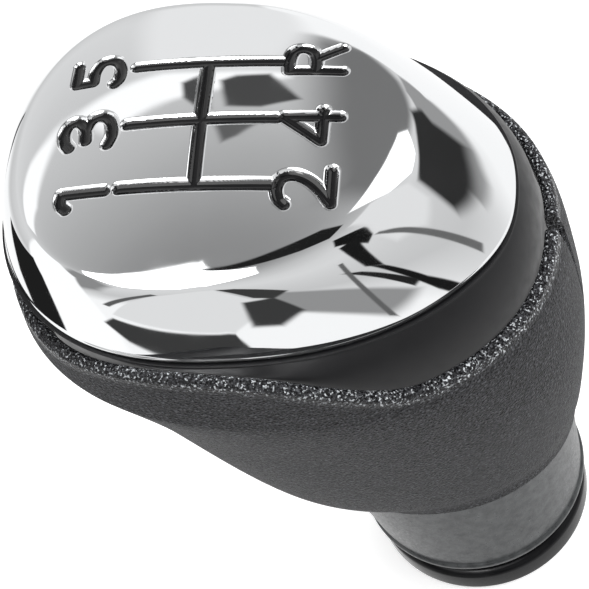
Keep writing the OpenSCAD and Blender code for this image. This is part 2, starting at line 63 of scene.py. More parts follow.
class Slot(Enum):
    """Names for material slots of the pieces made here, which the pieces don't use."""

    CAP = "cap_chrome"
    ENAMEL = "enamel_black"
    BEZEL = "bezel_satin"
    GRIP = "grip_grain"
    SLEEVE = "sleeve_satin"
    RING = "ring_gloss"


def ease(value: np.ndarray, start: float, end: float) -> np.ndarray:
    """Smooth step from 0 at start to 1 at end."""
    f = np.clip((np.asarray(value, float) - start) / (end - start), 0.0, 1.0)
    return f * f * (3.0 - 2.0 * f)


def oval_power(value: np.ndarray, power: np.ndarray) -> np.ndarray:
    """Sine or cosine bent to an oval of the given squareness."""
    return np.sign(value) * np.abs(value) ** (2.0 / power)


def from_front(turn: np.ndarray) -> np.ndarray:
    """Angle from the front to either side, from 0 to 180 degrees."""
    return np.abs(np.mod(np.asarray(turn) + 180.0, 360.0) - 180.0)


def around(columns: int) -> np.ndarray:
    """Even angles in degrees once round the knob."""
    return np.arange(columns) * 360.0 / columns


def turned(turn: np.ndarray, profile: list) -> np.ndarray:
    """Loops of a turned profile, given as pairs of radius and height."""
    t, (r, z) = np.radians(turn), np.array(profile).T
    x, y = np.outer(np.sin(t), r), np.outer(np.cos(t), r)
    return np.stack([x, y, np.broadcast_to(z, x.shape)], axis=2)


@dataclass(frozen=True)
class Section:
    """A tilted oval across the knob.

    Args:
        fwd: forward offset of its centre.
        height: height of its centre.
        tilt: backward tilt in degrees.
        half_len: half of its fore and aft length.
        half_w: half of its width.
        egg: how much wider it is in front than behind.
        power: squareness, where 2 is an ellipse.
    """

    fwd: float
    height: float
    tilt: float
    half_len: float
    half_w: float
    egg: float
    power: float

    def values(self) -> np.ndarray:
        """The seven numbers as one row."""
        return np.array(
            [self.fwd, self.height, self.tilt, self.half_len, self.half_w, self.egg, self.power]
        )

    def at(self, turn: np.ndarray, inset: np.ndarray = 0.0, lift: np.ndarray = 0.0) -> np.ndarray:
        """Points of the oval at angles from the front, moved in and up."""
        return section_points(self.values(), turn, inset, lift)

    def loops(self, turn: np.ndarray, rows: list) -> np.ndarray:
        """Loops round the oval, given as pairs of inset and lift."""
        return np.stack([self.at(turn, inset, lift) for inset, lift in rows], axis=1)


def section_points(
    s: np.ndarray, turn: np.ndarray, inset: np.ndarray, lift: np.ndarray
) -> np.ndarray:
    """Points of ovals given as rows of seven values.

    Args:
        s: section values, with the seven numbers along the last axis.
        turn: angle from the front in degrees, towards the right.
        inset: how far each point lies inside the oval.
        lift: how far each point lies above the oval's plane.

    Returns:
        Points with x, y and z along the last axis.
    """
    t = np.radians(turn)
    c, n = np.cos(t), np.sin(t)
    y = (s[..., 3] - inset) * oval_power(c, s[..., 6])
    x = (s[..., 4] - inset) * oval_power(n, s[..., 6]) * (1.0 + s[..., 5] * c)
    a = np.radians(s[..., 2])
    return np.stack(
        [
            x + 0.0 * y,
            s[..., 0] + y * np.cos(a) - lift * np.sin(a) + 0.0 * x,
            s[..., 1] + y * np.sin(a) + lift * np.cos(a) + 0.0 * x,
        ],
        axis=-1,
    )


@dataclass
class KnobForm:
    """Outer form of the knob, the same as the part's source.

    Args:
        foot, neck, waist, belly, head: sections of the sleeve and the shells, upwards.
        rim: the oval of the cap's rim.
        wall: thickness of the shells.
        fit: clearance between pieces.
        rise_rear, rise_side, rise_front: rise of the shells' lip above the head.
        draw: how far the shells draw in at the top of the lip.
        dip_start, dip_end: angles from the rear between which the lip climbs to the sides.
        fall_start, fall_end: angles from the rear between which it falls to the front.
        tuck: how far the cap's rim stands back beside its rear half.
        tuck_start, tuck_full, tuck_wane, tuck_end: angles from the front at which the rim
            starts to stand back, stands back in full, comes out again and is out.
    """

    foot: Section = Section(0, 8, 0, 15.5, 15.5, 0, 2)
    neck: Section = Section(1.6, 26, 1.6, 18.3, 15.7, 0.02, 2.05)
    waist: Section = Section(4.5, 34, 1.6, 23, 18.9, 0.02, 2.1)
    belly: Section = Section(7.7, 57, 10, 28.9, 23.5, 0.02, 2.2)
    head: Section = Section(10.4, 68.7, 8.5, 30.7, 25.6, 0.045, 2.2)
    rim: Section = Section(11.2, 76.8, 9, 27.85, 22.0, 0.09, 2.2)
    wall: float = 1.6
    fit: float = 0.2
    rise_rear: float = 1.0
    rise_side: float = 8.7
    rise_front: float = 3.8
    draw: float = 0.3
    dip_start: float = 56.0
    dip_end: float = 97.0
    fall_start: float = 100.0
    fall_end: float = 150.0
    tuck: float = 0.62
    tuck_start: float = 52.0
    tuck_full: float = 100.0
    tuck_wane: float = 138.0
    tuck_end: float = 172.0

    def __post_init__(self) -> None:
        """Works out the slopes of the smooth curve through the sections."""
        rows = [s.values() for s in (self.foot, self.neck, self.waist, self.belly, self.head)]
        self.stations = np.array(rows)
        last = len(rows) - 1
        slopes = np.zeros_like(self.stations)
        step = np.diff(self.stations, axis=0)
        for k in range(7):
            slopes[0, k] = self._end_slope(step[0, k], step[1, k])
            if k not in (3, 4):
                slopes[last, k] = self._end_slope(step[-1, k], step[-2, k])
            for i in range(1, last):
                a, b = step[i - 1, k], step[i, k]
                slopes[i, k] = 0.0 if a * b <= 0 else 2 * a * b / (a + b)
        self.slopes = slopes

    @staticmethod
    def _end_slope(a: float, b: float) -> float:
        """Slope at an end station, kept from overshooting."""
        e = (3 * a - b) / 2
        if e * a <= 0:
            return 0.0
        return 3 * a if a * b < 0 and abs(e) > 3 * abs(a) else e

    def at(self, station: np.ndarray, turn: np.ndarray, inset: np.ndarray = 0.0) -> np.ndarray:
        """Points of the form at stations, where whole numbers are the named sections."""
        u = np.asarray(station, float)
        i = np.minimum(np.floor(u).astype(int), len(self.stations) - 2)
        f = (u - i)[..., None]
        a, b = self.stations[i], self.stations[i + 1]
        da, db = self.slopes[i], self.slopes[i + 1]
        s = (
            a * (1 + 2 * f) * (1 - f) ** 2
            + da * f * (1 - f) ** 2
            + b * f * f * (3 - 2 * f)
            - db * f * f * (1 - f)
        )
        return section_points(s, turn, inset, 0.0)

    def lip_rise(self, turn: np.ndarray) -> np.ndarray:
        """Rise of the shells' lip above the widest section."""
        w = np.abs(180.0 - np.mod(turn, 360.0))
        return (
            self.rise_rear
            + (self.rise_side - self.rise_rear) * ease(w, self.dip_start, self.dip_end)
            - (self.rise_side - self.rise_front) * ease(w, self.fall_start, self.fall_end)
        )

    def wall_point(self, turn: np.ndarray, inset: np.ndarray, lift: np.ndarray) -> np.ndarray:
        """Points inside the shells: straight up above the head, along the form below it."""
        climb = self.slopes[4, 1] + self.head.height - self.belly.height
        below = self.at(4.0 + 2.0 * np.minimum(lift, 0.0) / climb, turn, inset)
        return np.where((lift >= 0)[:, None], self.head.at(turn, inset, lift), below)

    def rim_tuck(self, turn: np.ndarray) -> np.ndarray:
        """How far the cap's rim stands back from the collar's brow beside the rear half."""
        w = from_front(turn)
        back, out = ease(w, self.tuck_start, self.tuck_full), ease(w, self.tuck_wane, self.tuck_end)
        return self.tuck * back * (1 - out)

    def lip_in(self, turn: np.ndarray) -> np.ndarray:
        """How far the shells have drawn in at the lip."""
        return self.draw * self.lip_rise(turn) / self.rise_side


class Bench:
    """The modelling moves that the pieces share."""

    @staticmethod
    def clear() -> None:
        """Leaves edit mode and deselects everything."""
        if bpy.context.object and bpy.context.object.mode != "OBJECT":
            bpy.ops.object.mode_set(mode="OBJECT")
        bpy.ops.object.select_all(action="DESELECT")

    @staticmethod
    def pick(piece: Piece) -> None:
        """Selects one piece and makes it active."""
        Bench.clear()
        piece.select_set(True)
        bpy.context.view_layer.objects.active = piece

    @staticmethod
    def named(name: str) -> Piece:
        """Names the primitive that was just added."""
        piece = bpy.context.object
        piece.name = name
        piece.data.name = name
        return piece

    @staticmethod
    def points(piece: Piece) -> np.ndarray:
        """Vertex places of a piece, in metres."""
        co = np.empty(len(piece.data.vertices) * 3)
        piece.data.vertices.foreach_get("co", co)
        return co.reshape(-1, 3)

    @staticmethod
    def lay(piece: Piece, points_mm: np.ndarray) -> None:
        """Lays a piece's vertices on points given in millimetres."""
        piece.data.vertices.foreach_set("co", (points_mm * MM).astype(np.float32).ravel())
        piece.data.update()

    @staticmethod
    def outward(piece: Piece) -> None:
        """Turns a closed piece's faces outwards."""
        Bench.pick(piece)
        bpy.ops.object.mode_set(mode="EDIT")
        bpy.ops.mesh.select_all(action="SELECT")
        bpy.ops.mesh.normals_make_consistent(inside=False)
        bpy.ops.object.mode_set(mode="OBJECT")

    @staticmethod
    def smooth(piece: Piece, angle: float = 40.0) -> None:
        """Shades a piece smooth, apart from its sharp edges."""
        Bench.pick(piece)
        bpy.ops.object.shade_smooth_by_angle(angle=math.radians(angle))

    @staticmethod
    def mark(piece: Piece, kind: str, marked: np.ndarray) -> None:
        """Opens a piece in edit mode with the marked edges or vertices selected.

        Args:
            piece: the piece.
            kind: EDGE or VERT.
            marked: whether each of them is marked.
        """
        Bench.pick(piece)
        bpy.ops.object.mode_set(mode="EDIT")
        bpy.ops.mesh.select_mode(type=kind)
        bpy.ops.mesh.select_all(action="DESELECT")
        bpy.ops.object.mode_set(mode="OBJECT")
        parts = piece.data.edges if kind == "EDGE" else piece.data.vertices
        parts.foreach_set("select", marked)
        bpy.ops.object.mode_set(mode="EDIT")

    @staticmethod
    def close(piece: Piece) -> None:
        """Closes the open edge of a sheet, which is the foot and the two seam faces."""
        Bench.pick(piece)
        bpy.ops.object.mode_set(mode="EDIT")
        bpy.ops.mesh.select_all(action="DESELECT")
        bpy.ops.mesh.select_mode(type="EDGE")
        bpy.ops.mesh.select_non_manifold()
        bpy.ops.mesh.edge_face_add()
        bpy.ops.object.mode_set(mode="OBJECT")

    @staticmethod
    def ring(name: str, run: list, finish: Material) -> Piece:
        """A closed ring swept from loops.

        Args:
            name: name of the piece.
            run: groups of loops, as columns, loops and xyz in millimetres.
            finish: its material.

        Returns:
            The finished piece.
        """
        loops = np.concatenate(run, axis=1)
        columns, count, _ = loops.shape
        major, minor = 0.02, 0.005
        Bench.clear()
        bpy.ops.mesh.primitive_torus_add(
            major_segments=columns, minor_segments=count, major_radius=major, minor_radius=minor
        )
        piece = Bench.named(name)
        x, y, z = Bench.points(piece).T
        i = np.rint(np.arctan2(y, x) / math.tau * columns).astype(int) % columns
        j = np.rint(np.arctan2(z, np.hypot(x, y) - major) / math.tau * count).astype(int) % count
        Bench.lay(piece, loops[i, j])
        Bench.outward(piece)
        Bench.smooth(piece)
        piece.data.materials.append(finish)
        return piece

    @staticmethod
    def sheet(name: str, grid: np.ndarray) -> Piece:
        """An open sheet laid on a grid of points in millimetres."""
        columns, rows, _ = grid.shape
        Bench.clear()
        bpy.ops.mesh.primitive_grid_add(
            x_subdivisions=columns - 1, y_subdivisions=rows - 1, size=1.0
        )
        piece = Bench.named(name)
        co = Bench.points(piece)
        i = np.rint((co[:, 0] + 0.5) * (columns - 1)).astype(int)
        j = np.rint((co[:, 1] + 0.5) * (rows - 1)).astype(int)
        Bench.lay(piece, grid[i, j])
        return piece

    @staticmethod
    def apply(piece: Piece, kind: str, **settings: object) -> None:
        """Adds a modifier with settings and applies it."""
        Bench.pick(piece)
        modifier = piece.modifiers.new(kind.title(), kind)
        for key, value in settings.items():
            setattr(modifier, key, value)
        bpy.ops.object.modifier_apply(modifier=modifier.name)

    @staticmethod
    def attribute(piece: Piece, name: str, values: np.ndarray) -> None:
        """Keeps one number a vertex under a name, for the piece's material."""
        layer = piece.data.attributes.new(name, "FLOAT", "POINT")
        layer.data.foreach_set("value", values.astype(np.float32))


class Nodes:
    """A node tree, with short ways to add and link its nodes."""

    def __init__(self, tree: bpy.types.NodeTree) -> None:
        """Keeps the tree."""
        self.tree = tree

    def feed(self, socket: Socket, value: object) -> None:
        """Sets a socket to a value, or links another node's output to it."""
        if isinstance(value, Socket):
            self.tree.links.new(value, socket)
        else:
            socket.default_value = value

    def add(self, kind: str, **inputs: object) -> bpy.types.Node:
        """Adds a node.

        Args:
            kind: the node's type.
            inputs: properties, named p_ and their name, and values or outputs for its inputs,
                named after the input or i and its number.

        Returns:
            The node.
        """
        made = self.tree.nodes.new(kind)
        for key in sorted(inputs, key=lambda name: not name.startswith("p_")):
            if key.startswith("p_"):
                setattr(made, key[2:], inputs[key])
            else:
                name = int(key[1:]) if key[1:].isdigit() else key.replace("_", " ")
                self.feed(made.inputs[name], inputs[key])
        return made

    def mapped(
        self,
        value: Socket,
        low: float,
        high: float,
        to_low: float = 0.0,
        to_high: float = 1.0,
        blend: str = "LINEAR",
    ) -> Socket:
        """A value carried from one range to another."""
        return self.add(
            "ShaderNodeMapRange",
            p_interpolation_type=blend,
            Value=value,
            From_Min=low,
            From_Max=high,
            To_Min=to_low,
            To_Max=to_high,
        ).outputs["Result"]

    def maths(self, operation: str, a: object, b: object) -> Socket:
        """One arithmetic step on values or outputs."""
        return self.add("ShaderNodeMath", p_operation=operation, i0=a, i1=b).outputs[0]

    def facing(self, way: Socket, target: np.ndarray) -> Socket:
        """Cosine of the angle between a direction and a fixed one."""
        return self.add(
            "ShaderNodeVectorMath", p_operation="DOT_PRODUCT", i0=way, i1=tuple(target)
        ).outputs["Value"]

    def between(self, factor: Socket, a: object, b: object) -> Socket:
        """A colour between two, each given as red, green and blue or as an output."""
        a, b = ((*c, 1.0) if isinstance(c, tuple) else c for c in (a, b))
        return self.add("ShaderNodeMix", p_data_type="RGBA", i0=factor, i6=a, i7=b).outputs[2]


class Paint(Nodes):
    """A node material round one Principled shader."""

    def __init__(self, name: str, colour: tuple, roughness: float, metallic: float = 0.0) -> None:
        """Makes the material and sets the shader's plain values."""
        self.material = bpy.data.materials.new(name)
        self.material.use_nodes = True
        super().__init__(self.material.node_tree)
        self.set("Base Color", (*colour, 1.0))
        self.set("Roughness", roughness)
        self.set("Metallic", metallic)
        self.place = self.add("ShaderNodeTexCoord").outputs["Object"]

    def set(self, name: str, value: object) -> None:
        """Gives one of the shader's inputs a value or an output."""
        self.feed(self.tree.nodes["Principled BSDF"].inputs[name], value)

    def stretched(self, scale: tuple) -> Socket:
        """Object coordinates scaled along each axis."""
        return self.add("ShaderNodeMapping", Vector=self.place, Scale=scale).outputs["Vector"]

    def noise(self, scale: float, detail: float, output: str = "Fac") -> Socket:
        """Noise over the piece, as a value or as a colour."""
        return self.add(
            "ShaderNodeTexNoise", Vector=self.place, Scale=scale, Detail=detail
        ).outputs[output]

    def bump(
        self,
        height: Socket,
        depth: float,
        strength: float = 1.0,
        under: Socket | None = None,
    ) -> Socket:
        """A bump of the given depth in metres, laid over another if one is given."""
        made = self.add("ShaderNodeBump", Height=height, Distance=depth, Strength=strength)
        if under is not None:
            self.feed(made.inputs["Normal"], under)
        self.set("Normal", made.outputs["Normal"])
        return made.outputs["Normal"]


@dataclass(frozen=True)
class Grain:
    """Noise between two values.

    Args:
        scale: grains in a metre.
        detail: finer layers on top.
        low: value at the start of the range used.
        high: value at its end.
        start: start of the part of the noise's range that is used.
        end: end of that part.
    """

    scale: float
    detail: float
    low: float = 0.0
    high: float = 1.0
    start: float = 0.3
    end: float = 0.7

    def on(self, paint: Paint) -> Socket:
        """The noise on one material."""
        noise = paint.noise(self.scale, self.detail)
        return paint.mapped(noise, self.start, self.end, self.low, self.high)


@dataclass(frozen=True)
class Finish:
    """A material whose tone, gloss and height vary a little over the piece.

    Args:
        name: name of the material.
        colour: its plain colour.
        roughness: its middle roughness.
        gloss: the roughness over the piece.
        metallic: 1 for bare metal.
        shader: further inputs of the shader and their values.
        stretch: scale of the noises along each axis, if they aren't even.
        tones: dark and light colour, if there are two.
        tone: the noise between those.
        relief: scale and detail of the finest bumps, their depth in metres and strength.
    """

    name: str
    colour: tuple
    roughness: float
    gloss: Grain
    metallic: float = 0.0
    shader: tuple = ()
    stretch: tuple = ()
    tones: tuple = ()
    tone: Grain | None = None
    relief: tuple = ()

    def make(self) -> Material:
        """Builds the material."""
        paint = Paint(self.name, self.colour, self.roughness, self.metallic)
        for name, value in self.shader:
            paint.set(name, value)
        if self.stretch:
            paint.place = paint.stretched(self.stretch)
        if self.tones:
            paint.set("Base Color", paint.between(self.tone.on(paint), *self.tones))
        paint.set("Roughness", self.gloss.on(paint))
        if self.relief:
            scale, detail, depth, strength = self.relief
            paint.bump(paint.noise(scale, detail), depth, strength)
        return paint.material


@dataclass(frozen=True)
class Chrome(Finish):
    """Bright plating with a faint haze."""

    name: str = "bright_chrome"
    colour: tuple = (0.83, 0.84, 0.85)
    roughness: float = 0.035
    gloss: Grain = Grain(260.0, 4.0, 0.02, 0.06, 0.35, 0.75)
    metallic: float = 1.0


@dataclass(frozen=True)
class Enamel(Finish):
    """Glossy black fill."""

    name: str = "black_enamel"
    colour: tuple = (0.003, 0.003, 0.0035)
    roughness: float = 0.12
    gloss: Grain = Grain(500.0, 2.0, 0.08, 0.2)
    shader: tuple = (("Specular IOR Level", 0.22), ("Coat Weight", 0.35), ("Coat Roughness", 0.03))
    relief: tuple = (900.0, 2.0, 0.00002, 0.5)


@dataclass(frozen=True)
class SatinBlack(Finish):
    """Smooth satin black moulding."""

    name: str = "satin_black"
    colour: tuple = (0.008, 0.008, 0.009)
    roughness: float = 0.38
    gloss: Grain = Grain(700.0, 3.0, 0.34, 0.44)
    shader: tuple = (("Specular IOR Level", 0.24),)
    tones: tuple = ((0.008, 0.008, 0.009), (0.013, 0.013, 0.014))
    tone: Grain = Grain(180.0, 4.0, start=0.0, end=1.0)
    relief: tuple = (6500.0, 2.0, 0.000012, 0.35)


@dataclass(frozen=True)
class SleeveSatin(Finish):
    """Dark grey satin with a soft sheen."""

    name: str = "sleeve_satin"
    colour: tuple = (0.075, 0.08, 0.082)
    roughness: float = 0.34
    gloss: Grain = Grain(2600.0, 3.0, 0.26, 0.42)
    metallic: float = 0.25
    tones: tuple = ((0.022, 0.024, 0.026), (0.075, 0.08, 0.082))
    tone: Grain = Grain(700.0, 6.0)
    relief: tuple = (5200.0, 3.0, 0.00002, 0.4)


@dataclass(frozen=True)
class RingGloss(Finish):
    """Gloss black moulding."""

    name: str = "gloss_black"
    colour: tuple = (0.008, 0.008, 0.009)
    roughness: float = 0.16
    gloss: Grain = Grain(600.0, 3.0, 0.13, 0.24)
    shader: tuple = (("Specular IOR Level", 0.08), ("Coat Weight", 0.04), ("Coat Roughness", 0.08))
    relief: tuple = (1400.0, 3.0, 0.00003, 0.3)


@dataclass(frozen=True)
class MouldedPlastic(Finish):
    """Plain matt plastic of the hidden carrier."""

    name: str = "moulded_plastic"
    colour: tuple = (0.034, 0.034, 0.036)
    roughness: float = 0.6
    gloss: Grain = Grain(1500.0, 2.0, 0.52, 0.68)
    tones: tuple = ((0.02, 0.02, 0.021), (0.034, 0.034, 0.036))
    tone: Grain = Grain(300.0, 4.0, start=0.0, end=1.0)
    relief: tuple = (3500.0, 2.0, 0.00003, 0.5)


@dataclass(frozen=True)
class TurnedBrass(Finish):
    """Brass with fine turning marks round the lever's axis."""

    name: str = "turned_brass"
    colour: tuple = (0.62, 0.46, 0.2)
    roughness: float = 0.3
    gloss: Grain = Grain(1.0, 4.0, 0.24, 0.39)
    metallic: float = 1.0
    stretch: tuple = (60.0, 60.0, 9000.0)
    relief: tuple = (1.0, 4.0, 0.00001, 0.4)


@dataclass(frozen=True)
class SpringSteel(TurnedBrass):
    """Drawn spring wire, with marks like the brass."""

    name: str = "spring_wire"
    colour: tuple = (0.42, 0.42, 0.43)
    roughness: float = 0.28
    gloss: Grain = Grain(1.0, 4.0, 0.224, 0.364)


@dataclass(frozen=True)
class GrainedSkin:
    """Charcoal soft moulding with a fine leather grain, whose relief is also painted in as shade
    between the pebbles, coarser and glossier on the lip, with painted highlights there.

    Args:
        dark: colour between the pebbles, a painted shade of the grain's valleys.
        light: colour of the pebbles' tops, set against the painted shade between them.
        painted_glint: colour of the painted highlights on the lip's grain, specks of light painted
            into its colour.
        pebbles: pebbles of the grain in a metre.
        wander: how far the grain's lines wander, in metres.
        depth: depth of the grain in metres.
        lip_depth: depth of the coarser grain on the lip in metres.
        lip_shine: how much less rough the lip is.
    """

    dark: tuple = (0.003, 0.003, 0.004)
    light: tuple = (0.1, 0.102, 0.112)
    painted_glint: tuple = (0.72, 0.75, 0.78)
    pebbles: float = 1700.0
    wander: float = 0.0006
    depth: float = 0.00016
    lip_depth: float = 0.0005
    lip_shine: float = 0.24

    def make(self) -> Material:
        """Builds the material."""
        paint = Paint("grained_charcoal", self.light, 0.5)
        paint.set("Specular IOR Level", 0.2)
        lip = paint.add("ShaderNodeAttribute", p_attribute_name="lip").outputs["Fac"]
        place = paint.add(
            "ShaderNodeMix",
            p_data_type="VECTOR",
            i0=self.wander,
            i4=paint.stretched((1.0, 1.0, 1.35)),
            i5=paint.noise(700.0, 3.0, "Color"),
        ).outputs[1]
        cells = paint.add(
            "ShaderNodeTexVoronoi", p_feature="DISTANCE_TO_EDGE", Vector=place, Scale=self.pebbles
        ).outputs["Distance"]
        pebble = paint.mapped(cells, 0.0, 0.3)
        fine = paint.noise(3600.0, 3.0)
        fleck = paint.mapped(fine, 0.42, 0.64)
        # Painted shade: the grain is darker in its valleys and lighter on its pebbles, as light on
        # the relief would make it; the flecks vary the tone at random.
        tone = paint.maths("MULTIPLY", paint.maths("ADD", pebble, 0.25), fleck)
        colour = paint.between(tone, self.dark, self.light)
        # Painted highlights: bright specks on the lip, painted into the colour where its gloss
        # would catch the light.
        painted_glints = paint.mapped(paint.noise(3300.0, 2.0), 0.58, 0.66)
        painted_glints = paint.maths("MULTIPLY", painted_glints, lip)
        paint.set("Base Color", paint.between(painted_glints, colour, self.painted_glint))
        height = paint.maths("ADD", pebble, paint.maths("MULTIPLY", fine, 0.5))
        coarse = paint.maths("MULTIPLY", paint.noise(2300.0, 3.0), lip)
        paint.bump(coarse, self.lip_depth, 1.0, paint.bump(height, self.depth))
        rough = paint.mapped(fine, 0.3, 0.7, 0.44, 0.6)
        shine = paint.maths("MULTIPLY", lip, self.lip_shine)
        paint.set("Roughness", paint.maths("SUBTRACT", rough, shine))
        return paint.material


@dataclass
class Stroke:
    """A line of constant width, engraved in the cap.

    Args:
        points: places in the plane of the cap's rim, in millimetres.
        curved: whether the line bends smoothly through its points.
    """

    points: list
    curved: bool = False

    def path(self) -> np.ndarray:
        """The line as short segments, six between two points of a curved one."""
        p = np.array(self.points, float)
        if not self.curved:
            return p
        ends = np.vstack([2 * p[0] - p[1], p, 2 * p[-1] - p[-2]])
        f = np.linspace(0, 1, 7)[:-1, None]
        bends = [
            0.5 * (2 * b + (c - a) * f)
            + 0.5 * ((2 * a - 5 * b + 4 * c - d) * f**2 + (3 * b - a - 3 * c + d) * f**3)
            for a, b, c, d in zip(ends[:-3], ends[1:-2], ends[2:-1], ends[3:])
        ]
        return np.vstack([*bends, p[-1:]])


@dataclass
class Engraving:
    """Lines that share one width.

    Args:
        strokes: the lines.
        width: their width.
        reach: how far from a line distances are worked out.
    """

    strokes: list
    width: float
    reach: float = 2.5

    def __post_init__(self) -> None:
        """Collects the segments of all lines."""
        paths = [stroke.path() for stroke in self.strokes]
        self.segments = [pair for path in paths for pair in zip(path[:-1], path[1:])]

    def distance(self, xy: np.ndarray) -> np.ndarray:
        """Distance to the edge of the nearest line.

        Args:
            xy: places in the plane of the cap's rim.

        Returns:
            Distances, negative inside a line and huge beyond the reach of all.
        """
        best = np.full(len(xy), FAR)
        for a, b in self.segments:
            ab = b - a
            near = np.abs(xy - (a + b) / 2).max(axis=1) < np.abs(ab).max() / 2 + self.reach
            p = xy[near]
            f = np.clip(((p - a) @ ab) / (ab @ ab), 0.0, 1.0)
            d = np.hypot(*(p - a - f[:, None] * ab).T)
            best[near] = np.minimum(best[near], d)
        return best - self.width / 2


@dataclass
class ShiftCap:
    """Plated cap with the engraved gate and numerals, and the enamel that lies in them.

    Args:
        dome_h: height of the crown's middle above the rim's plane.
        crown_drop: how much lower the crown is at its edge.
        crown_len, crown_w, crown_egg, crown_fwd: the crown's oval.
        crown_lean: tilt of the crown against the rim in degrees.
        even: share of the fall that is even, at the front, the side and the rear.
        full: how late the rest of it falls, at the same three.
        crease: half width of the rounding between crown and skirt.
        groove_round: half width of the rounded edge of an engraved line.
        enamel_drop: how far the enamel lies below the chrome at a line's edge.
        meniscus: how much lower it is in the middle of the line.
        lines_end: place between crown and rim past which nothing is engraved.
        overlap: how far the enamel reaches past a line's edge.
        band_in: how far inside a line's edge the finer band has its middle.
        cuts: distances from the lines within which the lattice is made finer, each with the
            length past which its edges are cut.
        ring_pull: how far the rings are drawn towards the crown's edge.
        rim_profile: the rolled rim, outwards and up from the skirt's foot.
        figures: strokes of the figures 1 to 5 and the letter R.
    """

    form: KnobForm
    dome_h: float = 12.04
    crown_drop: float = 2.4
    crown_len: float = 41.4
    crown_w: float = 35.0
    crown_egg: float = 0.19
    crown_fwd: float = 3.1
    crown_lean: float = -2.3
    even: tuple = (0.3, 0.08, 0.74)
    full: tuple = (3.7, 2.5, 1.8)
    wall: float = 2.0
    crease: float = 0.2
    gate_pitch: float = 8.0
    gate_len: float = 15.8
    gate_fwd: float = 4.2
    line_w: float = 1.1
    figure_w: float = 1.05
    groove_depth: float = 0.5
    groove_round: float = 0.34
    enamel_drop: float = 0.15
    meniscus: float = 0.2
    enamel_t: float = 0.2
    lines_end: float = 1.5
    overlap: float = 0.02
    band_in: float = 0.05
    normal_step: float = 0.0015
    cuts: tuple = ((0.75, 0.18), (0.5, 0.12))
    segments: int = 256
    crown_rings: int = 52
    ring_pull: float = 0.2
    inner_rings: int = 14
    rim_profile: tuple = (
        ((0.0, 0.0), (0.02, -0.1), (0.07, -0.2), (0.13, -0.29), (0.17, -0.42))
        + ((0.16, -0.56), (0.11, -0.69), (0.0, -0.78), (-0.5, -0.8), (-1.9, -0.8))
    )
    figures: tuple = (
        # 1
        Stroke([(-9.83, 17.63), (-9.25, 18.2), (-8.59, 18.4), (-8.08, 18.36)], True),
        Stroke([(-8.03, 18.31), (-8.07, 13.61)]),
        # 2
        Stroke(
            [(-10.16, -5.09), (-9.54, -4.5), (-8.36, -4.25), (-7.26, -4.7), (-6.88, -5.8)]
            + [(-7.23, -7.1), (-8.22, -8.39), (-9.84, -9.73)],
            True,
        ),
        Stroke([(-9.84, -9.73), (-6.29, -9.79)]),
        # 3
        Stroke(
            [(-2.18, 18.34), (-1.36, 18.91), (-0.24, 19.11), (0.75, 18.81), (1.23, 18.05)]
            + [(0.86, 17.23), (-0.06, 16.72), (-1.48, 16.52)],
            True,
        ),
        Stroke(
            [(-0.06, 16.72), (1.08, 16.27), (1.56, 15.36), (1.19, 14.4), (0.23, 13.84)]
            + [(-1.13, 13.69), (-2.29, 14.04)],
            True,
        ),
        # 4
        Stroke([(0.39, -10.2), (0.18, -4.42), (-2.74, -8.41), (1.13, -8.51)]),
        # 5
        Stroke([(9.31, 18.88), (6.54, 18.79), (6.58, 16.86)]),
        Stroke(
            [(6.58, 16.86), (8.06, 16.85), (9.23, 16.34), (9.6, 15.33), (9.13, 14.37)]
            + [(7.94, 13.87), (6.6, 13.93), (5.97, 14.39)],
            True,
        ),
        # R
        Stroke([(6.79, -10.03), (6.64, -4.49)]),
        Stroke(
            [(6.64, -4.49), (8.14, -4.38), (9.63, -4.77), (10.1, -5.76), (9.58, -6.81)]
            + [(8.28, -7.22), (6.76, -7.23)],
            True,
        ),
        Stroke([(8.6, -7.17), (10.45, -9.84)]),
    )

    def __post_init__(self) -> None:
        """Lays out the gate's lines."""
        half = self.gate_len / 2
        lines = [
            Stroke([(x, self.gate_fwd - half), (x, self.gate_fwd + half)])
            for x in (-self.gate_pitch, 0.0, self.gate_pitch)
        ]
        lines.append(Stroke([(-self.gate_pitch, self.gate_fwd), (self.gate_pitch, self.gate_fwd)]))
        self.gate = Engraving(lines, self.line_w)
        self.numerals = Engraving(list(self.figures), self.figure_w)

    @staticmethod
    def _around(turn: np.ndarray, front: float, side: float, rear: float) -> np.ndarray:
        """A value that changes smoothly from the front over the side to the rear."""
        w = from_front(turn)
        return front + (side - front) * ease(w, 20, 90) + (rear - side) * ease(w, 90, 160)

    def surface(self, q: np.ndarray, turn: np.ndarray, inset: float = 0.0) -> np.ndarray:
        """The dome in the rim's frame, with the crease round its crown rounded off.

        Args:
            q: 0 at the crown's centre, 1 at its edge and 2 at the rim.
            turn: angle from the front in degrees.
            inset: how far inside the outer face.

        Returns:
            Points in millimetres.
        """
        rim = self.form.rim
        lean = math.tan(math.radians(self.crown_lean))
        t = np.radians(turn)
        c, n = oval_power(np.cos(t), rim.power), oval_power(np.sin(t), rim.power)
        ky = (self.crown_len - inset) / 2 * c
        kx = (self.crown_w - inset) / 2 * n * (1 + self.crown_egg * np.cos(t))
        ry = (rim.half_len - inset - self.form.rim_tuck(turn)) * c
        rx = (rim.half_w - inset - self.form.rim_tuck(turn)) * n * (1 + rim.egg * np.cos(t))
        u = np.clip((q - 1.0 + self.crease) / (2 * self.crease), 0.0, 1.0)
        v = np.where(q > 1.0 + self.crease, q - 1.0, 2 * self.crease * (u**3 - u**4 / 2))
        g = q - v
        even, full = self._around(turn, *self.even), self._around(turn, *self.full)
        fall = even * v + (1 - even) * v**full
        z = self.dome_h - inset - self.crown_drop * g * g + ky * g * lean
        y = self.crown_fwd + ky * g + (ry - self.crown_fwd - ky) * v
        return np.stack([kx * g + (rx - kx) * v, y, z * (1 - fall)], axis=-1)

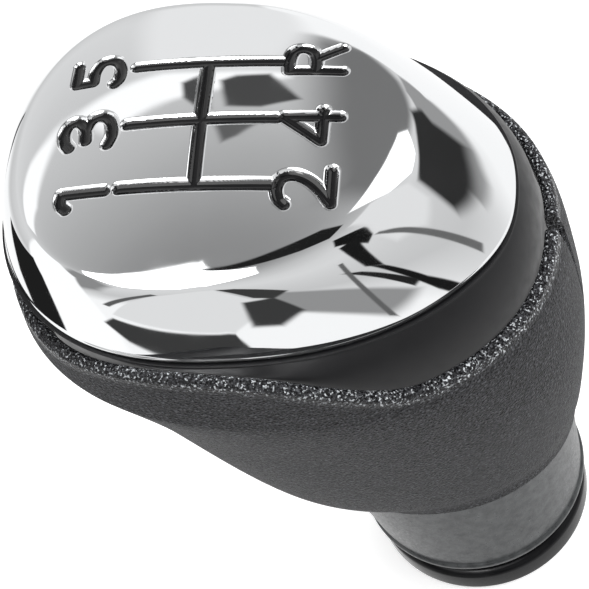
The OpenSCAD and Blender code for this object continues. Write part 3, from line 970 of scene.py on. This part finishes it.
    def _off_lines(self, p: np.ndarray) -> np.ndarray:
        """Distance of points to the edge of the nearest engraved line."""
        return np.minimum(self.gate.distance(p[:, :2]), self.numerals.distance(p[:, :2]))

    def engraved(self, q: np.ndarray, turn: np.ndarray) -> np.ndarray:
        """The dome with the engraving cut in."""
        p = self.surface(q, turn)
        cut = 1 - ease(self._off_lines(p), -self.groove_round, self.groove_round)
        p[:, 2] -= self.groove_depth * cut
        return p

    def to_world(self, p: np.ndarray) -> np.ndarray:
        """Carries points from the rim's frame to the knob's."""
        a = math.radians(self.form.rim.tilt)
        y, z = p[..., 1], p[..., 2]
        return np.stack(
            [
                p[..., 0],
                self.form.rim.fwd + y * math.cos(a) - z * math.sin(a),
                self.form.rim.height + y * math.sin(a) + z * math.cos(a),
            ],
            axis=-1,
        )

    @property
    def rings(self) -> tuple:
        """Ring numbers where the dome ends, where the rim ends, and the last."""
        dome = 2 * self.crown_rings
        rim = dome + len(self.rim_profile) - 1
        return dome, rim, rim + self.inner_rings

    def _lattice(self, name: str) -> Piece:
        """A unit sphere with one ring for each ring of the cap, finer near the engraving."""
        Bench.clear()
        bpy.ops.mesh.primitive_uv_sphere_add(
            segments=self.segments, ring_count=self.rings[2], radius=1.0
        )
        piece = Bench.named(name)
        for reach, longest in self.cuts:
            self._refine(piece, reach, longest)
        return piece

    def _unwrap(self, piece: Piece) -> tuple:
        """Ring number, place between centre and rim, and angle of each vertex of a lattice."""
        co = Bench.points(piece)
        fall = np.arctan2(np.hypot(co[:, 0], co[:, 1]), co[:, 2])
        ring = fall / math.pi * self.rings[2]
        q = ring / self.crown_rings
        q = np.minimum(q + self.ring_pull * np.sin(math.pi * np.minimum(q, 2.0)), q + 1.0)
        return ring, q, np.degrees(np.arctan2(co[:, 0], co[:, 1]))

    def _refine(self, piece: Piece, reach: float, longest: float) -> None:
        """Cuts the long edges near the engraving in two.

        Args:
            piece: a lattice.
            reach: distance in millimetres from the lines' edges.
            longest: length in millimetres past which an edge is cut.
        """
        _, q, turn = self._unwrap(piece)
        place = self.surface(np.minimum(q, 2.0), turn)
        off = np.abs(self._off_lines(place) + self.band_in)
        close = (off < reach) & (q < self.lines_end)
        ends = np.empty(len(piece.data.edges) * 2, dtype=np.int32)
        piece.data.edges.foreach_get("vertices", ends)
        a, b = ends[0::2], ends[1::2]
        size = np.linalg.norm(place[a] - place[b], axis=1)
        Bench.mark(piece, "EDGE", (close[a] | close[b]) & (size > longest))
        bpy.ops.mesh.subdivide(number_cuts=1, ngon=False)
        bpy.ops.object.mode_set(mode="OBJECT")

    def _normals(self, q: np.ndarray, turn: np.ndarray) -> np.ndarray:
        """Exact normals of the engraved dome, in the knob's frame.

        Args:
            q: place of each point between centre and rim.
            turn: angle of each point from the front in degrees.

        Returns:
            Unit vectors.
        """
        h = self.normal_step
        q = np.clip(q, 0.02, 2.0 - h)
        dq = self.engraved(q + h, turn) - self.engraved(q - h, turn)
        step = np.degrees(h / np.maximum(q, 0.3))
        dt = self.engraved(q, turn + step) - self.engraved(q, turn - step)
        n = np.cross(dt, dq)
        n /= np.linalg.norm(n, axis=1)[:, None]
        n *= np.where(n[:, 2] < 0, -1.0, 1.0)[:, None]
        return self.to_world(n) - self.to_world(np.zeros((1, 3)))

    def build_cap(self, finish: Material) -> Piece:
        """Models the plated cap: dome, rolled rim and inner wall."""
        cap = self._lattice("shift_cap")
        ring, q, turn = self._unwrap(cap)
        dome, rim, last = self.rings
        points = self.engraved(np.clip(q, 0.0, 2.0), turn)
        section = self.form.rim
        flat = Section(0, 0, 0, section.half_len, section.half_w, section.egg, section.power)
        profile = np.array(self.rim_profile)
        at = np.clip(ring - dome, 0, rim - dome)
        out, rise = (np.interp(at, np.arange(len(profile)), profile[:, k]) for k in (0, 1))
        edge = flat.at(turn, self.form.rim_tuck(turn) - out, rise)
        down = np.clip(2.0 * (last - ring) / (last - rim - 1), 0, 2)
        within = self.surface(down, turn, self.wall)
        points = np.where((ring > dome + 0.01)[:, None], edge, points)
        points = np.where((ring > rim + 0.5)[:, None], within, points)
        Bench.lay(cap, self.to_world(points))
        Bench.smooth(cap, 50.0)
        given = np.where((ring < dome + 0.01)[:, None], self._normals(q, turn), 0.0)
        cap.data.normals_split_custom_set_from_vertices(given.tolist())
        cap.data.materials.append(finish)
        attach(cap, BODY)
        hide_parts("chrome_cap")
        return cap

    def build_enamel(self, name: str, lines: Engraving, finish: Material) -> Piece:
        """Models the enamel that lies in one set of lines.

        Args:
            name: name of the piece.
            lines: the lines it fills.
            finish: its material.

        Returns:
            The enamel.
        """
        fill = self._lattice(name)
        _, q, turn = self._unwrap(fill)
        xy = self.surface(q, turn)[:, :2]
        Bench.mark(fill, "VERT", (lines.distance(xy) > self.overlap) | (q > self.lines_end))
        bpy.ops.mesh.delete(type="VERT")
        bpy.ops.object.mode_set(mode="OBJECT")
        _, q, turn = self._unwrap(fill)
        p = self.surface(q, turn)
        inner = np.clip(-lines.distance(p[:, :2]) / (lines.width / 2), 0.0, 1.0)
        p[:, 2] -= self.enamel_drop + self.meniscus * (1 - (1 - inner) ** 2)
        Bench.lay(fill, self.to_world(p))
        Bench.apply(fill, "SOLIDIFY", thickness=self.enamel_t * MM, offset=-1.0)
        Bench.smooth(fill, 60.0)
        fill.data.materials.append(finish)
        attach(fill, BODY)
        return fill


@dataclass
class BezelCollar:
    """Satin collar between the shells' lip and the cap.

    Args:
        skirt: how far the collar goes down inside the shells' lip.
        ledge: how far its brow stands out of the cap's rim.
        seat: how far its inner flange reaches in under the cap.
        plate_drop: height of the rim's plane above the flange's underside.
        edge_h: height of the rim's plane above the flange.
        brow_round: how far in and down the points of the rounded brow lie.
        brow_lift: lift of the brow for each millimetre that the cap's rim stands back.
        brow_in: how far the brow goes in with it.
        tongue: how far the brow reaches in under the rim.
    """

    form: KnobForm
    wall: float = 1.6
    skirt: float = 5.0
    ledge: float = 0.5
    seat: float = 4.4
    plate_drop: float = 2.6
    edge_h: float = 0.8
    brow_round: tuple = ((0.0, 0.12), (0.04, 0.03), (0.14, 0.0))
    brow_lift: float = 0.9
    brow_in: float = 0.1
    tongue: float = 0.2
    columns: int = 256

    @staticmethod
    def _bulge(a: np.ndarray, b: np.ndarray, v: np.ndarray) -> np.ndarray:
        """Curve from a to b that first rises and then turns in."""
        c, v = a.copy(), v[None, :, None]
        c[..., 2] += 0.6 * (b[..., 2] - a[..., 2])
        return a[:, None] * (1 - v) ** 2 + c[:, None] * 2 * v * (1 - v) + b[:, None] * v * v

    def build(self, finish: Material) -> Piece:
        """Models the collar as one swept ring."""
        form, head, rim = self.form, self.form.head, self.form.rim
        turn = around(self.columns)
        rise, wrap = form.lip_rise(turn), form.wall + form.fit + form.lip_in(turn)
        low, bend = rise - self.skirt, rise - form.wall / 2
        foot = head.at(turn, wrap, bend)
        foot_in = head.at(turn, wrap + self.wall, bend - self.plate_drop + self.edge_h)
        tuck = form.rim_tuck(turn)
        inset, lift = self.brow_in * tuck - self.ledge, self.brow_lift * tuck - self.edge_h
        edge = [(inset + a, lift - b) for a, b in self.brow_round]
        edge += [(tuck - self.tongue, -self.edge_h), (self.seat, -self.edge_h)]
        edge += [(self.seat, -self.plate_drop)]
        run = [
            form.wall_point(turn, wrap, low)[:, None],
            self._bulge(foot, rim.at(turn, *edge[0]), np.linspace(0, 1, 34)),
            rim.loops(turn, edge[1:]),
            self._bulge(
                foot_in,
                rim.at(turn, self.wall - self.ledge, -self.plate_drop),
                np.linspace(1, 0, 10),
            ),
            form.wall_point(turn, wrap + self.wall, low)[:, None],
        ]
        collar = Bench.ring("bezel_collar", run, finish)
        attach(collar, BODY)
        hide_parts("bezel_ring")
        return collar


@dataclass
class GripShells:
    """The two grained shells, with the seam and the notch behind.

    Args:
        notch_edge: half width of the notch's rounded sides.
        hollow: how much deeper the seam gets under the notch.
        taper: how far below the lip the seam is fine again.
        flank: where the seam's side starts and ends, as shares of its half width.
        skin: how far the outer face lies inside the CAD's, which leaves room for the grain.
        gleam: how far below the lip's crest the grain is coarse and glossy and carries painted
            highlights.
        fade: where that has faded out.
        steps: loops up the straight wall of the lip.
        bends: loops over its rounded edge.
        spread: places of the columns beside the middle plane.
    """

    form: KnobForm
    rows: int = 96
    steps: int = 8
    bends: int = 13
    notch_half: float = 0.95
    notch_depth: float = 3.0
    notch_edge: float = 0.06
    seam_depth: float = 0.45
    seam_half: float = 0.28
    hollow: float = 0.75
    taper: float = 11.0
    flank: tuple = (0.25, 1.05)
    skin: float = 0.04
    gleam: float = 0.9
    fade: float = 1.98
    spread: tuple = (
        (0.0, 0.05, 0.12, 0.2, 0.28, 0.4, 0.55, 0.7, 0.82, 0.9, 0.95, 1.0, 1.08, 1.2)
        + (1.4, 1.7, 2.1, 2.6)
    )

    def _turns(self) -> np.ndarray:
        """Angles from 0 to 180 degrees, closer together beside the two seams."""
        x = np.array(self.spread) / self.form.head.half_w
        near = np.degrees(np.arcsin(x ** (self.form.head.power / 2)))
        middle = np.linspace(near[-1], 180 - near[-1], 92)[1:-1]
        return np.concatenate([near, middle, 180 - near[::-1]])

    def _seam(self, x: np.ndarray, drop: np.ndarray, rear: np.ndarray) -> np.ndarray:
        """Depth of the seam's groove.

        Args:
            x: distance from the middle plane.
            drop: depth below the lip's crest.
            rear: 1 behind and 0 in front.

        Returns:
            Depths in millimetres.
        """
        wide = np.clip(1 - drop / self.taper, 0, 1) ** 1.5 * rear
        half = self.seam_half + (self.notch_half - self.seam_half) * wide
        flat, edge = (half * share for share in self.flank)
        return (self.seam_depth + self.hollow * wide) * (1 - ease(x, flat, edge))

    def _lip(self, turn: np.ndarray) -> np.ndarray:
        """Loops from the widest section up, over the rolled lip and down inside."""
        form, skin, r = self.form, self.skin, self.form.wall / 2
        draw, straight = form.lip_in(turn), np.maximum(form.lip_rise(turn) - r, 0.1)
        climb = np.linspace(0, 1, self.steps + 1)[1:]
        up = [(skin + draw * v, straight * v) for v in climb]
        over = [
            (skin + draw + (r - skin / 2) * (1 - math.cos(a)), straight + r * math.sin(a))
            for a in np.radians(np.linspace(0, 180, self.bends + 2)[1:-1])
        ]
        down = [(form.wall + draw * v, straight * v) for v in climb[::-1]]
        return form.head.loops(turn, up + over + down)

    def build(self, side: int, node: str, finish: Material) -> Piece:
        """Models one shell.

        Args:
            side: 1 for the right shell and -1 for the left.
            node: the CAD node it stands for.
            finish: its material.

        Returns:
            The shell.
        """
        form = self.form
        turn = self._turns() * side
        rear = (np.abs(turn) > 90).astype(float)
        level, rise = form.head.at(turn), form.lip_rise(turn)
        x = np.abs(level[:, 0])
        within = 1 - ease(x, self.notch_half - self.notch_edge, self.notch_half + self.notch_edge)
        notch = self.notch_depth * within * rear
        station, place = np.meshgrid(np.linspace(1, 4, self.rows), turn)
        outer, lip = form.at(station, place, self.skin), self._lip(turn)
        skin = np.concatenate([outer, lip[:, :self.steps]], axis=1)
        crest = (level[:, 2] + rise)[:, None]
        drop = np.maximum(crest - skin[..., 2], 0)
        inward = -skin
        inward[..., 2] = 0
        inward[..., 1] += form.head.fwd
        inward /= np.maximum(np.linalg.norm(inward, axis=-1, keepdims=True), 1e-6)
        inward[..., 0] = 0
        skin += inward * self._seam(x[:, None], drop, rear[:, None])[..., None]
        inner = form.at(station[:, ::-4], place[:, ::-4], form.wall)
        points = np.concatenate([skin, lip[:, self.steps:], inner], axis=1)
        limit = np.where(notch[:, None] > 0.001, crest - notch[:, None], FAR)
        points[..., 2] = np.minimum(points[..., 2], limit)
        # The lip mask, kept as the lip attribute: there the grain is coarser and glossier, and the
        # material paints highlights into its colour.
        shine = np.zeros(points.shape[:2])
        shine[:, : drop.shape[1]] = 1 - ease(drop, self.gleam, self.fade)
        shine[:, drop.shape[1] : drop.shape[1] + self.bends] = 1.0
        shell = Bench.sheet("grip_" + ("right" if side > 0 else "left"), points)
        Bench.close(shell)
        Bench.outward(shell)
        Bench.smooth(shell, 45.0)
        Bench.attribute(shell, "lip", shine.T.ravel())
        shell.visible_glossy = False
        shell.data.materials.append(finish)
        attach(shell, BODY)
        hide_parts(node)
        return shell


@dataclass
class NeckSleeve:
    """Smooth sleeve below the shells, with a rolled lip at its foot and a spigot on top.

    Args:
        lip: how far the sleeve lies inside that lip above it.
        step: how far its top lies inside the shells.
        start: where the plain face starts, between the foot at 0 and the neck at 1.
    """

    form: KnobForm
    lip_h: float = 1.0
    lip: float = 0.35
    step: float = 0.5
    spigot: float = 5.0
    bore: float = 24.0
    chamfer: float = 0.3
    start: float = 0.085
    columns: int = 192

    def build(self, finish: Material) -> Piece:
        """Models the sleeve as one swept ring."""
        form, turn, h, c = self.form, around(self.columns), self.lip_h, self.chamfer
        lip = [(0.3, 0.0), (0.16, 0.03), (0.05, 0.12), (0.0, 0.26), (0.0, h - 0.35)]
        lip += [(0.06, h - 0.16), (0.18, h - 0.04), (self.lip, h + 0.15)]
        skin = [
            form.at(np.full_like(turn, u), turn, self.lip * (1 - u) + self.step * u)
            for u in np.linspace(self.start, 1.0, 40)
        ]
        inset = form.wall + form.fit
        spigot = [(inset, 0.0), (inset, self.spigot - c), (inset + c, self.spigot)]
        foot, top = form.foot.height, form.neck.height + self.spigot
        bore = [(self.bore / 2, z) for z in np.linspace(top - c, foot + c, 10)]
        bore.append((self.bore / 2 + c, foot))
        run = [form.foot.loops(turn, lip), np.stack(skin, axis=1), form.neck.loops(turn, spigot)]
        sleeve = Bench.ring("neck_sleeve_satin", [*run, turned(turn, bore)], finish)
        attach(sleeve, BODY)
        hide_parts("neck_sleeve")
        return sleeve


@dataclass
class BootRing:
    """Gloss ring with the gaiter groove above it and the spigot in the sleeve."""

    outer_d: float = 30.0
    height: float = 5.0
    rounding: float = 1.2
    groove_d: float = 23.6
    top: float = 16.0
    bore: float = 9.9
    chamfer: float = 0.3
    columns: int = 160

    def build(self, finish: Material) -> Piece:
        """Models the ring as one turned profile."""
        r, e, c, g = self.outer_d / 2, self.rounding, self.chamfer, self.groove_d / 2
        arc = np.radians(np.linspace(0, 90, 11))
        profile = [(self.bore + c, 0.0), (r - e - 0.6, 0.0)]
        profile += [(r - e + e * math.sin(a), e - e * math.cos(a)) for a in arc]
        profile += [(r - e + e * math.cos(a), self.height - e + e * math.sin(a)) for a in arc]
        profile += [(r - e - 0.4, self.height), (g + c, self.height), (g, self.height + c)]
        profile += [(g, self.top - c), (g - c, self.top), (self.bore, self.top), (self.bore, c)]
        ring = Bench.ring("boot_ring_gloss", [turned(around(self.columns), profile)], finish)
        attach(ring, BODY)
        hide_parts("boot_ring")
        return ring


@dataclass
class InnerParts:
    """Carrier, bush and clip, which stay as the CAD made them."""

    nodes: dict

    def dress(self) -> None:
        """Gives each hidden piece its material."""
        finishes = {"carrier": MouldedPlastic, "lever_bush": TurnedBrass, "bush_clip": SpringSteel}
        for name, finish in finishes.items():
            node = self.nodes[name]
            node.data.materials.clear()
            node.data.materials.append(finish().make())
            LOG.info("dressed %s", name)


@dataclass(frozen=True)
class Card:
    """A flat light panel or dark flag of the room, seen from the knob.

    Args:
        corners: directions of its corners in order, as angles in degrees from the car's front
            to the right, and above the floor.
        level: brightness, where 1 is white.
        soft: half width of its blurred edge in degrees.
    """

    corners: tuple
    level: float
    soft: float = 1.0

    @staticmethod
    def way(azimuth: float, elevation: float) -> np.ndarray:
        """Unit vector of a direction."""
        a, e = math.radians(azimuth), math.radians(elevation)
        return np.array([math.sin(a) * math.cos(e), math.cos(a) * math.cos(e), math.sin(e)])

    def edges(self) -> list:
        """Inward unit normals of the planes through the edges and the knob."""
        ways = [self.way(*corner) for corner in self.corners]
        turn = np.sign(np.cross(ways[0], ways[1]) @ ways[2])
        normals = [np.cross(a, b) * turn for a, b in zip(ways, ways[1:] + ways[:1])]
        return [n / np.linalg.norm(n) for n in normals]

    def lay(self, nodes: Nodes, way: Socket, level: Socket) -> Socket:
        """Lays the card over the room's brightness.

        Args:
            nodes: the world's nodes.
            way: the direction looked in.
            level: the brightness without the card.

        Returns:
            The brightness with the card.
        """
        blur = math.sin(math.radians(self.soft))
        inside, *sides = (nodes.facing(way, normal) for normal in self.edges())
        for side in sides:
            inside = nodes.maths("MINIMUM", inside, side)
        step = nodes.mapped(inside, -blur, blur, blend="SMOOTHSTEP")
        return nodes.between(step, level, (self.level,) * 3)


@dataclass
class Studio:
    """Pale floor, room and the camera at the photograph's viewing angle.

    Args:
        azimuth, elevation, roll: the camera's direction and roll in degrees.
        focal_px: focal length in pixels of a frame frame_px wide.
        reach, side, up: place of the camera from the knob's foot, in its own axes.
        floor_glow: how much of its white the floor gives to the camera by itself.
        key: direction of the soft key light.
        key_light: cosines of the angle to it where the light starts and is full, and its
            least and greatest brightness.
        shades: brightness of the room at heights in degrees, below its cards.
        cards: its panels and flags, each over the ones before.
    """

    azimuth: float = -63.764
    elevation: float = 53.441
    roll: float = -26.547
    focal_px: float = 1688.477
    reach: float = 242.426
    side: float = -27.047
    up: float = 28.329
    frame_px: float = 589.0
    sensor: float = 36.0
    floor_glow: float = 0.62
    key: tuple = (140.0, 50.0)
    key_light: tuple = (0.3, 0.95, 0.42, 2.6)
    shades: tuple = (
        ((-90, 1.1), (-14, 1.1), (-7, 0.82), (0, 0.66), (22, 0.8), (32, 0.76), (40, 0.68))
        + ((47, 0.62), (57, 0.52), (65, 0.45), (71, 0.4), (77, 0.34), (83, 0.3), (90, 0.3))
    )
    cards: tuple = (
        Card(
            ((91, 26), (99, 15), (114, 16), (130, 28), (150, 45), (160, 62))
            + ((128, 69), (108, 58), (98, 44)),
            0.2,
            5,
        ),
        Card(((88, 26), (96, 21), (106, 13), (115, 4), (118, -12), (96, -14), (84, -2)), 1.1, 1.2),
        Card(((69, 37), (74, 16), (90, 14), (92, 26), (90, 37)), 0.93, 2.5),
        Card(
            ((112, 8), (117, -9), (126, -15), (150, -9), (170, -6), (179, 4))
            + ((140, 14), (124, 24)),
            0.36,
            1.5,
        ),
        Card(
            ((127, 28), (130, 8), (140, -8), (165, -2), (178, 2), (172, 17))
            + ((146, 24),),
            0.032,
            2.2,
        ),
        Card(((18, 34), (43, 38), (55, 40), (53, 46.5), (36, 46.5), (16, 50)), 1.2, 1),
        Card(((54, 40), (72, 38.5), (92, 37.5), (92, 41), (76, 45), (60, 48)), 1.2, 1),
        Card(((74, 45.5), (75, 41.5), (79, 39.5), (79, 48.5), (76, 48)), 0.08, 0.6),
        Card(((82, 48), (81.5, 41), (84, 39.5), (89, 38.5), (96, 45.5), (89, 48.5)), 0.075, 0.6),
        Card(((79.5, 53), (94, 52), (93, 54), (85, 57), (82, 59)), 0.13, 0.6),
        Card(
            ((128, 43), (133, 35), (152, 27), (168, 25), (178, 40), (172, 63))
            + ((146, 58), (133, 50)),
            2,
            0.7,
        ),
        Card(
            ((176, 22), (179, 9), (-170, 6), (-160, 9), (-157, 20), (-164, 50))
            + ((178, 52),),
            0.88,
            1.5,
        ),
        Card(((-104, 2), (-128, -5), (-146, -10), (-128, -20), (-98, -17)), 0.33, 1.5),
        Card(((-22, 45), (-40, 46), (-56, 25), (-50, 5), (-35, -2), (-24, 15)), 0.3, 4),
        Card(
            ((-8, 62), (-32, 48), (-62, 32), (-84, 28), (-118, 52), (-145, 78))
            + ((60, 84), (15, 77)),
            3.5,
            0.6,
        ),
        Card(((-70, 48), (-88, 48), (-86, 60), (-66, 60)), 22, 1.5),
        Card(((10, 32), (-14, 38), (-34, 22), (-48, -36), (-12, -46), (-2, -8)), 1.2, 1.5),
        Card(((20, -14), (-4, -6), (-9, -20), (-12, -38), (5, -43), (19, -36)), 0.015, 0.6),
        Card(((-50, -24), (-72, 4), (-88, 17), (-100, -14), (-81, -30), (-62, -27)), 0.86, 0.5),
        Card(((-48, -17), (-51, -18), (-76, 9), (-74, 12)), 0.12, 0.5),
        Card(((-43, -29), (-49, -26), (-81, -30), (-84, -39), (-68, -38), (-50, -34)), 0.05, 0.6),
        Card(((-90, 17), (-97, 16), (-112, 2), (-104, -6), (-98, -4)), 0.05, 0.8),
        Card(((-93, -9), (-104, -5), (-108, -17), (-96, -26), (-88, -27)), 0.05, 1),
        Card(((45, 84), (175, 70), (-172, 59), (-158, 55), (-156, 66)), 0.015, 0.4),
        Card(((-152, 46), (-158, 30), (-157, 20), (-153, 18), (-146, 34)), 0.01, 0.5),
        Card(((-153, 27), (-146, 30), (-143, 6), (-148, 3)), 0.012, 0.5),
        Card(((-144, 6), (-148, 3), (-157, -13), (-152, -15)), 0.012, 0.5),
        Card(((-141, 42), (-139, 20), (-136, 6), (-139, 4), (-142, 16)), 0.015, 0.5),
        Card(((-134, 7), (-140, 4), (-150, -7), (-146, -9)), 0.02, 0.4),
        Card(((-140, 16), (-138, 16), (-128, -20), (-130, -20)), 0.14, 0.4),
        Card(((-157, 19), (-159, 18), (-176, -4), (-172, -5)), 0.16, 0.4),
    )

    def camera(self) -> None:
        """Adds the camera."""
        az, el, roll = (math.radians(v) for v in (self.azimuth, self.elevation, self.roll))
        back = Vector((math.sin(az) * math.cos(el), -math.cos(az) * math.cos(el), math.sin(el)))
        level = Vector((math.cos(az), math.sin(az), 0.0))
        rise = back.cross(level)
        right = level * math.cos(roll) + rise * math.sin(roll)
        upward = rise * math.cos(roll) - level * math.sin(roll)
        place = (right * self.side + upward * self.up + back * self.reach) * MM
        Bench.clear()
        bpy.ops.object.camera_add(location=place)
        camera = bpy.context.object
        camera.name = "photo_camera"
        camera.rotation_mode = "QUATERNION"
        camera.rotation_quaternion = Matrix((right, upward, back)).transposed().to_quaternion()
        camera.data.sensor_width = self.sensor
        camera.data.lens = self.sensor * self.focal_px / self.frame_px
        camera.data.clip_start = 0.01
        bpy.context.scene.camera = camera

    def floor(self) -> None:
        """Adds the pale floor, which the camera sees as white outside the knob's shadow."""
        Bench.clear()
        bpy.ops.mesh.primitive_plane_add(size=4.0, location=(0, 0, 0))
        floor = Bench.named("studio_floor")
        paint = Paint("pale_floor", (0.8, 0.8, 0.8), 0.9)
        seen = paint.add("ShaderNodeLightPath").outputs["Is Camera Ray"]
        paint.set("Emission Color", WHITE)
        paint.set("Emission Strength", paint.maths("MULTIPLY", seen, self.floor_glow))
        floor.data.materials.append(paint.material)
        floor.visible_glossy = False

    def room(self) -> None:
        """Sets the world: white to the camera, a room of panels and flags to the knob."""
        world = bpy.data.worlds.new("studio_room")
        world.use_nodes = True
        world.node_tree.nodes.clear()
        bpy.context.scene.world = world
        nodes = Nodes(world.node_tree)
        way = nodes.add("ShaderNodeTexCoord").outputs["Generated"]
        height = nodes.add("ShaderNodeSeparateXYZ", i0=way).outputs["Z"]
        ramp = nodes.add("ShaderNodeValToRGB", Fac=nodes.mapped(height, -1.0, 1.0))
        stops = ramp.color_ramp.elements
        while len(stops) < len(self.shades):
            stops.new(0.5)
        for stop, (elevation, level) in zip(stops, self.shades):
            stop.position = (math.sin(math.radians(elevation)) + 1.0) / 2.0
            stop.color = (level, level, level, 1.0)
        seen = ramp.outputs["Color"]
        for card in self.cards:
            seen = card.lay(nodes, way, seen)
        soft = nodes.facing(way, Card.way(*self.key))
        soft = nodes.mapped(soft, *self.key_light, blend="SMOOTHSTEP")
        shade, lit, white = (
            nodes.add("ShaderNodeBackground", Color=colour).outputs[0]
            for colour in (soft, seen, WHITE)
        )
        path = nodes.add("ShaderNodeLightPath").outputs
        for ray, other in ((path["Is Glossy Ray"], lit), (path["Is Camera Ray"], white)):
            shade = nodes.add("ShaderNodeMixShader", i0=ray, i1=shade, i2=other).outputs[0]
        nodes.add("ShaderNodeOutputWorld", Surface=shade)

    def build(self) -> None:
        """Sets up the camera, the floor and the room."""
        self.camera()
        self.floor()
        self.room()
        bpy.context.scene.view_settings.view_transform = "Standard"


def main() -> None:
    """Builds the knob's pieces in order, and the studio round them."""
    logging.basicConfig(level=logging.INFO, format="%(message)s")
    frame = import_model()
    form = KnobForm()
    cap, shells = ShiftCap(form), GripShells(form)
    enamel, skin = Enamel().make(), GrainedSkin().make()
    plate = cap.build_cap(Chrome().make())
    gate = cap.build_enamel("gate_lines", cap.gate, enamel)
    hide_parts("gate_enamel")
    pieces = [
        plate,
        gate,
        cap.build_enamel("gate_numerals", cap.numerals, enamel),
        BezelCollar(form).build(SatinBlack().make()),
        shells.build(1, "grip_shell_right", skin),
        shells.build(-1, "grip_shell_left", skin),
        NeckSleeve(form).build(SleeveSatin().make()),
        BootRing().build(RingGloss().make()),
    ]
    InnerParts(frame["nodes"]).dress()
    for piece in pieces:
        piece.data.calc_loop_triangles()
        LOG.info("%s: %d triangles", piece.name, len(piece.data.loop_triangles))
    Studio().build()


if __name__ == "__main__":
    main()
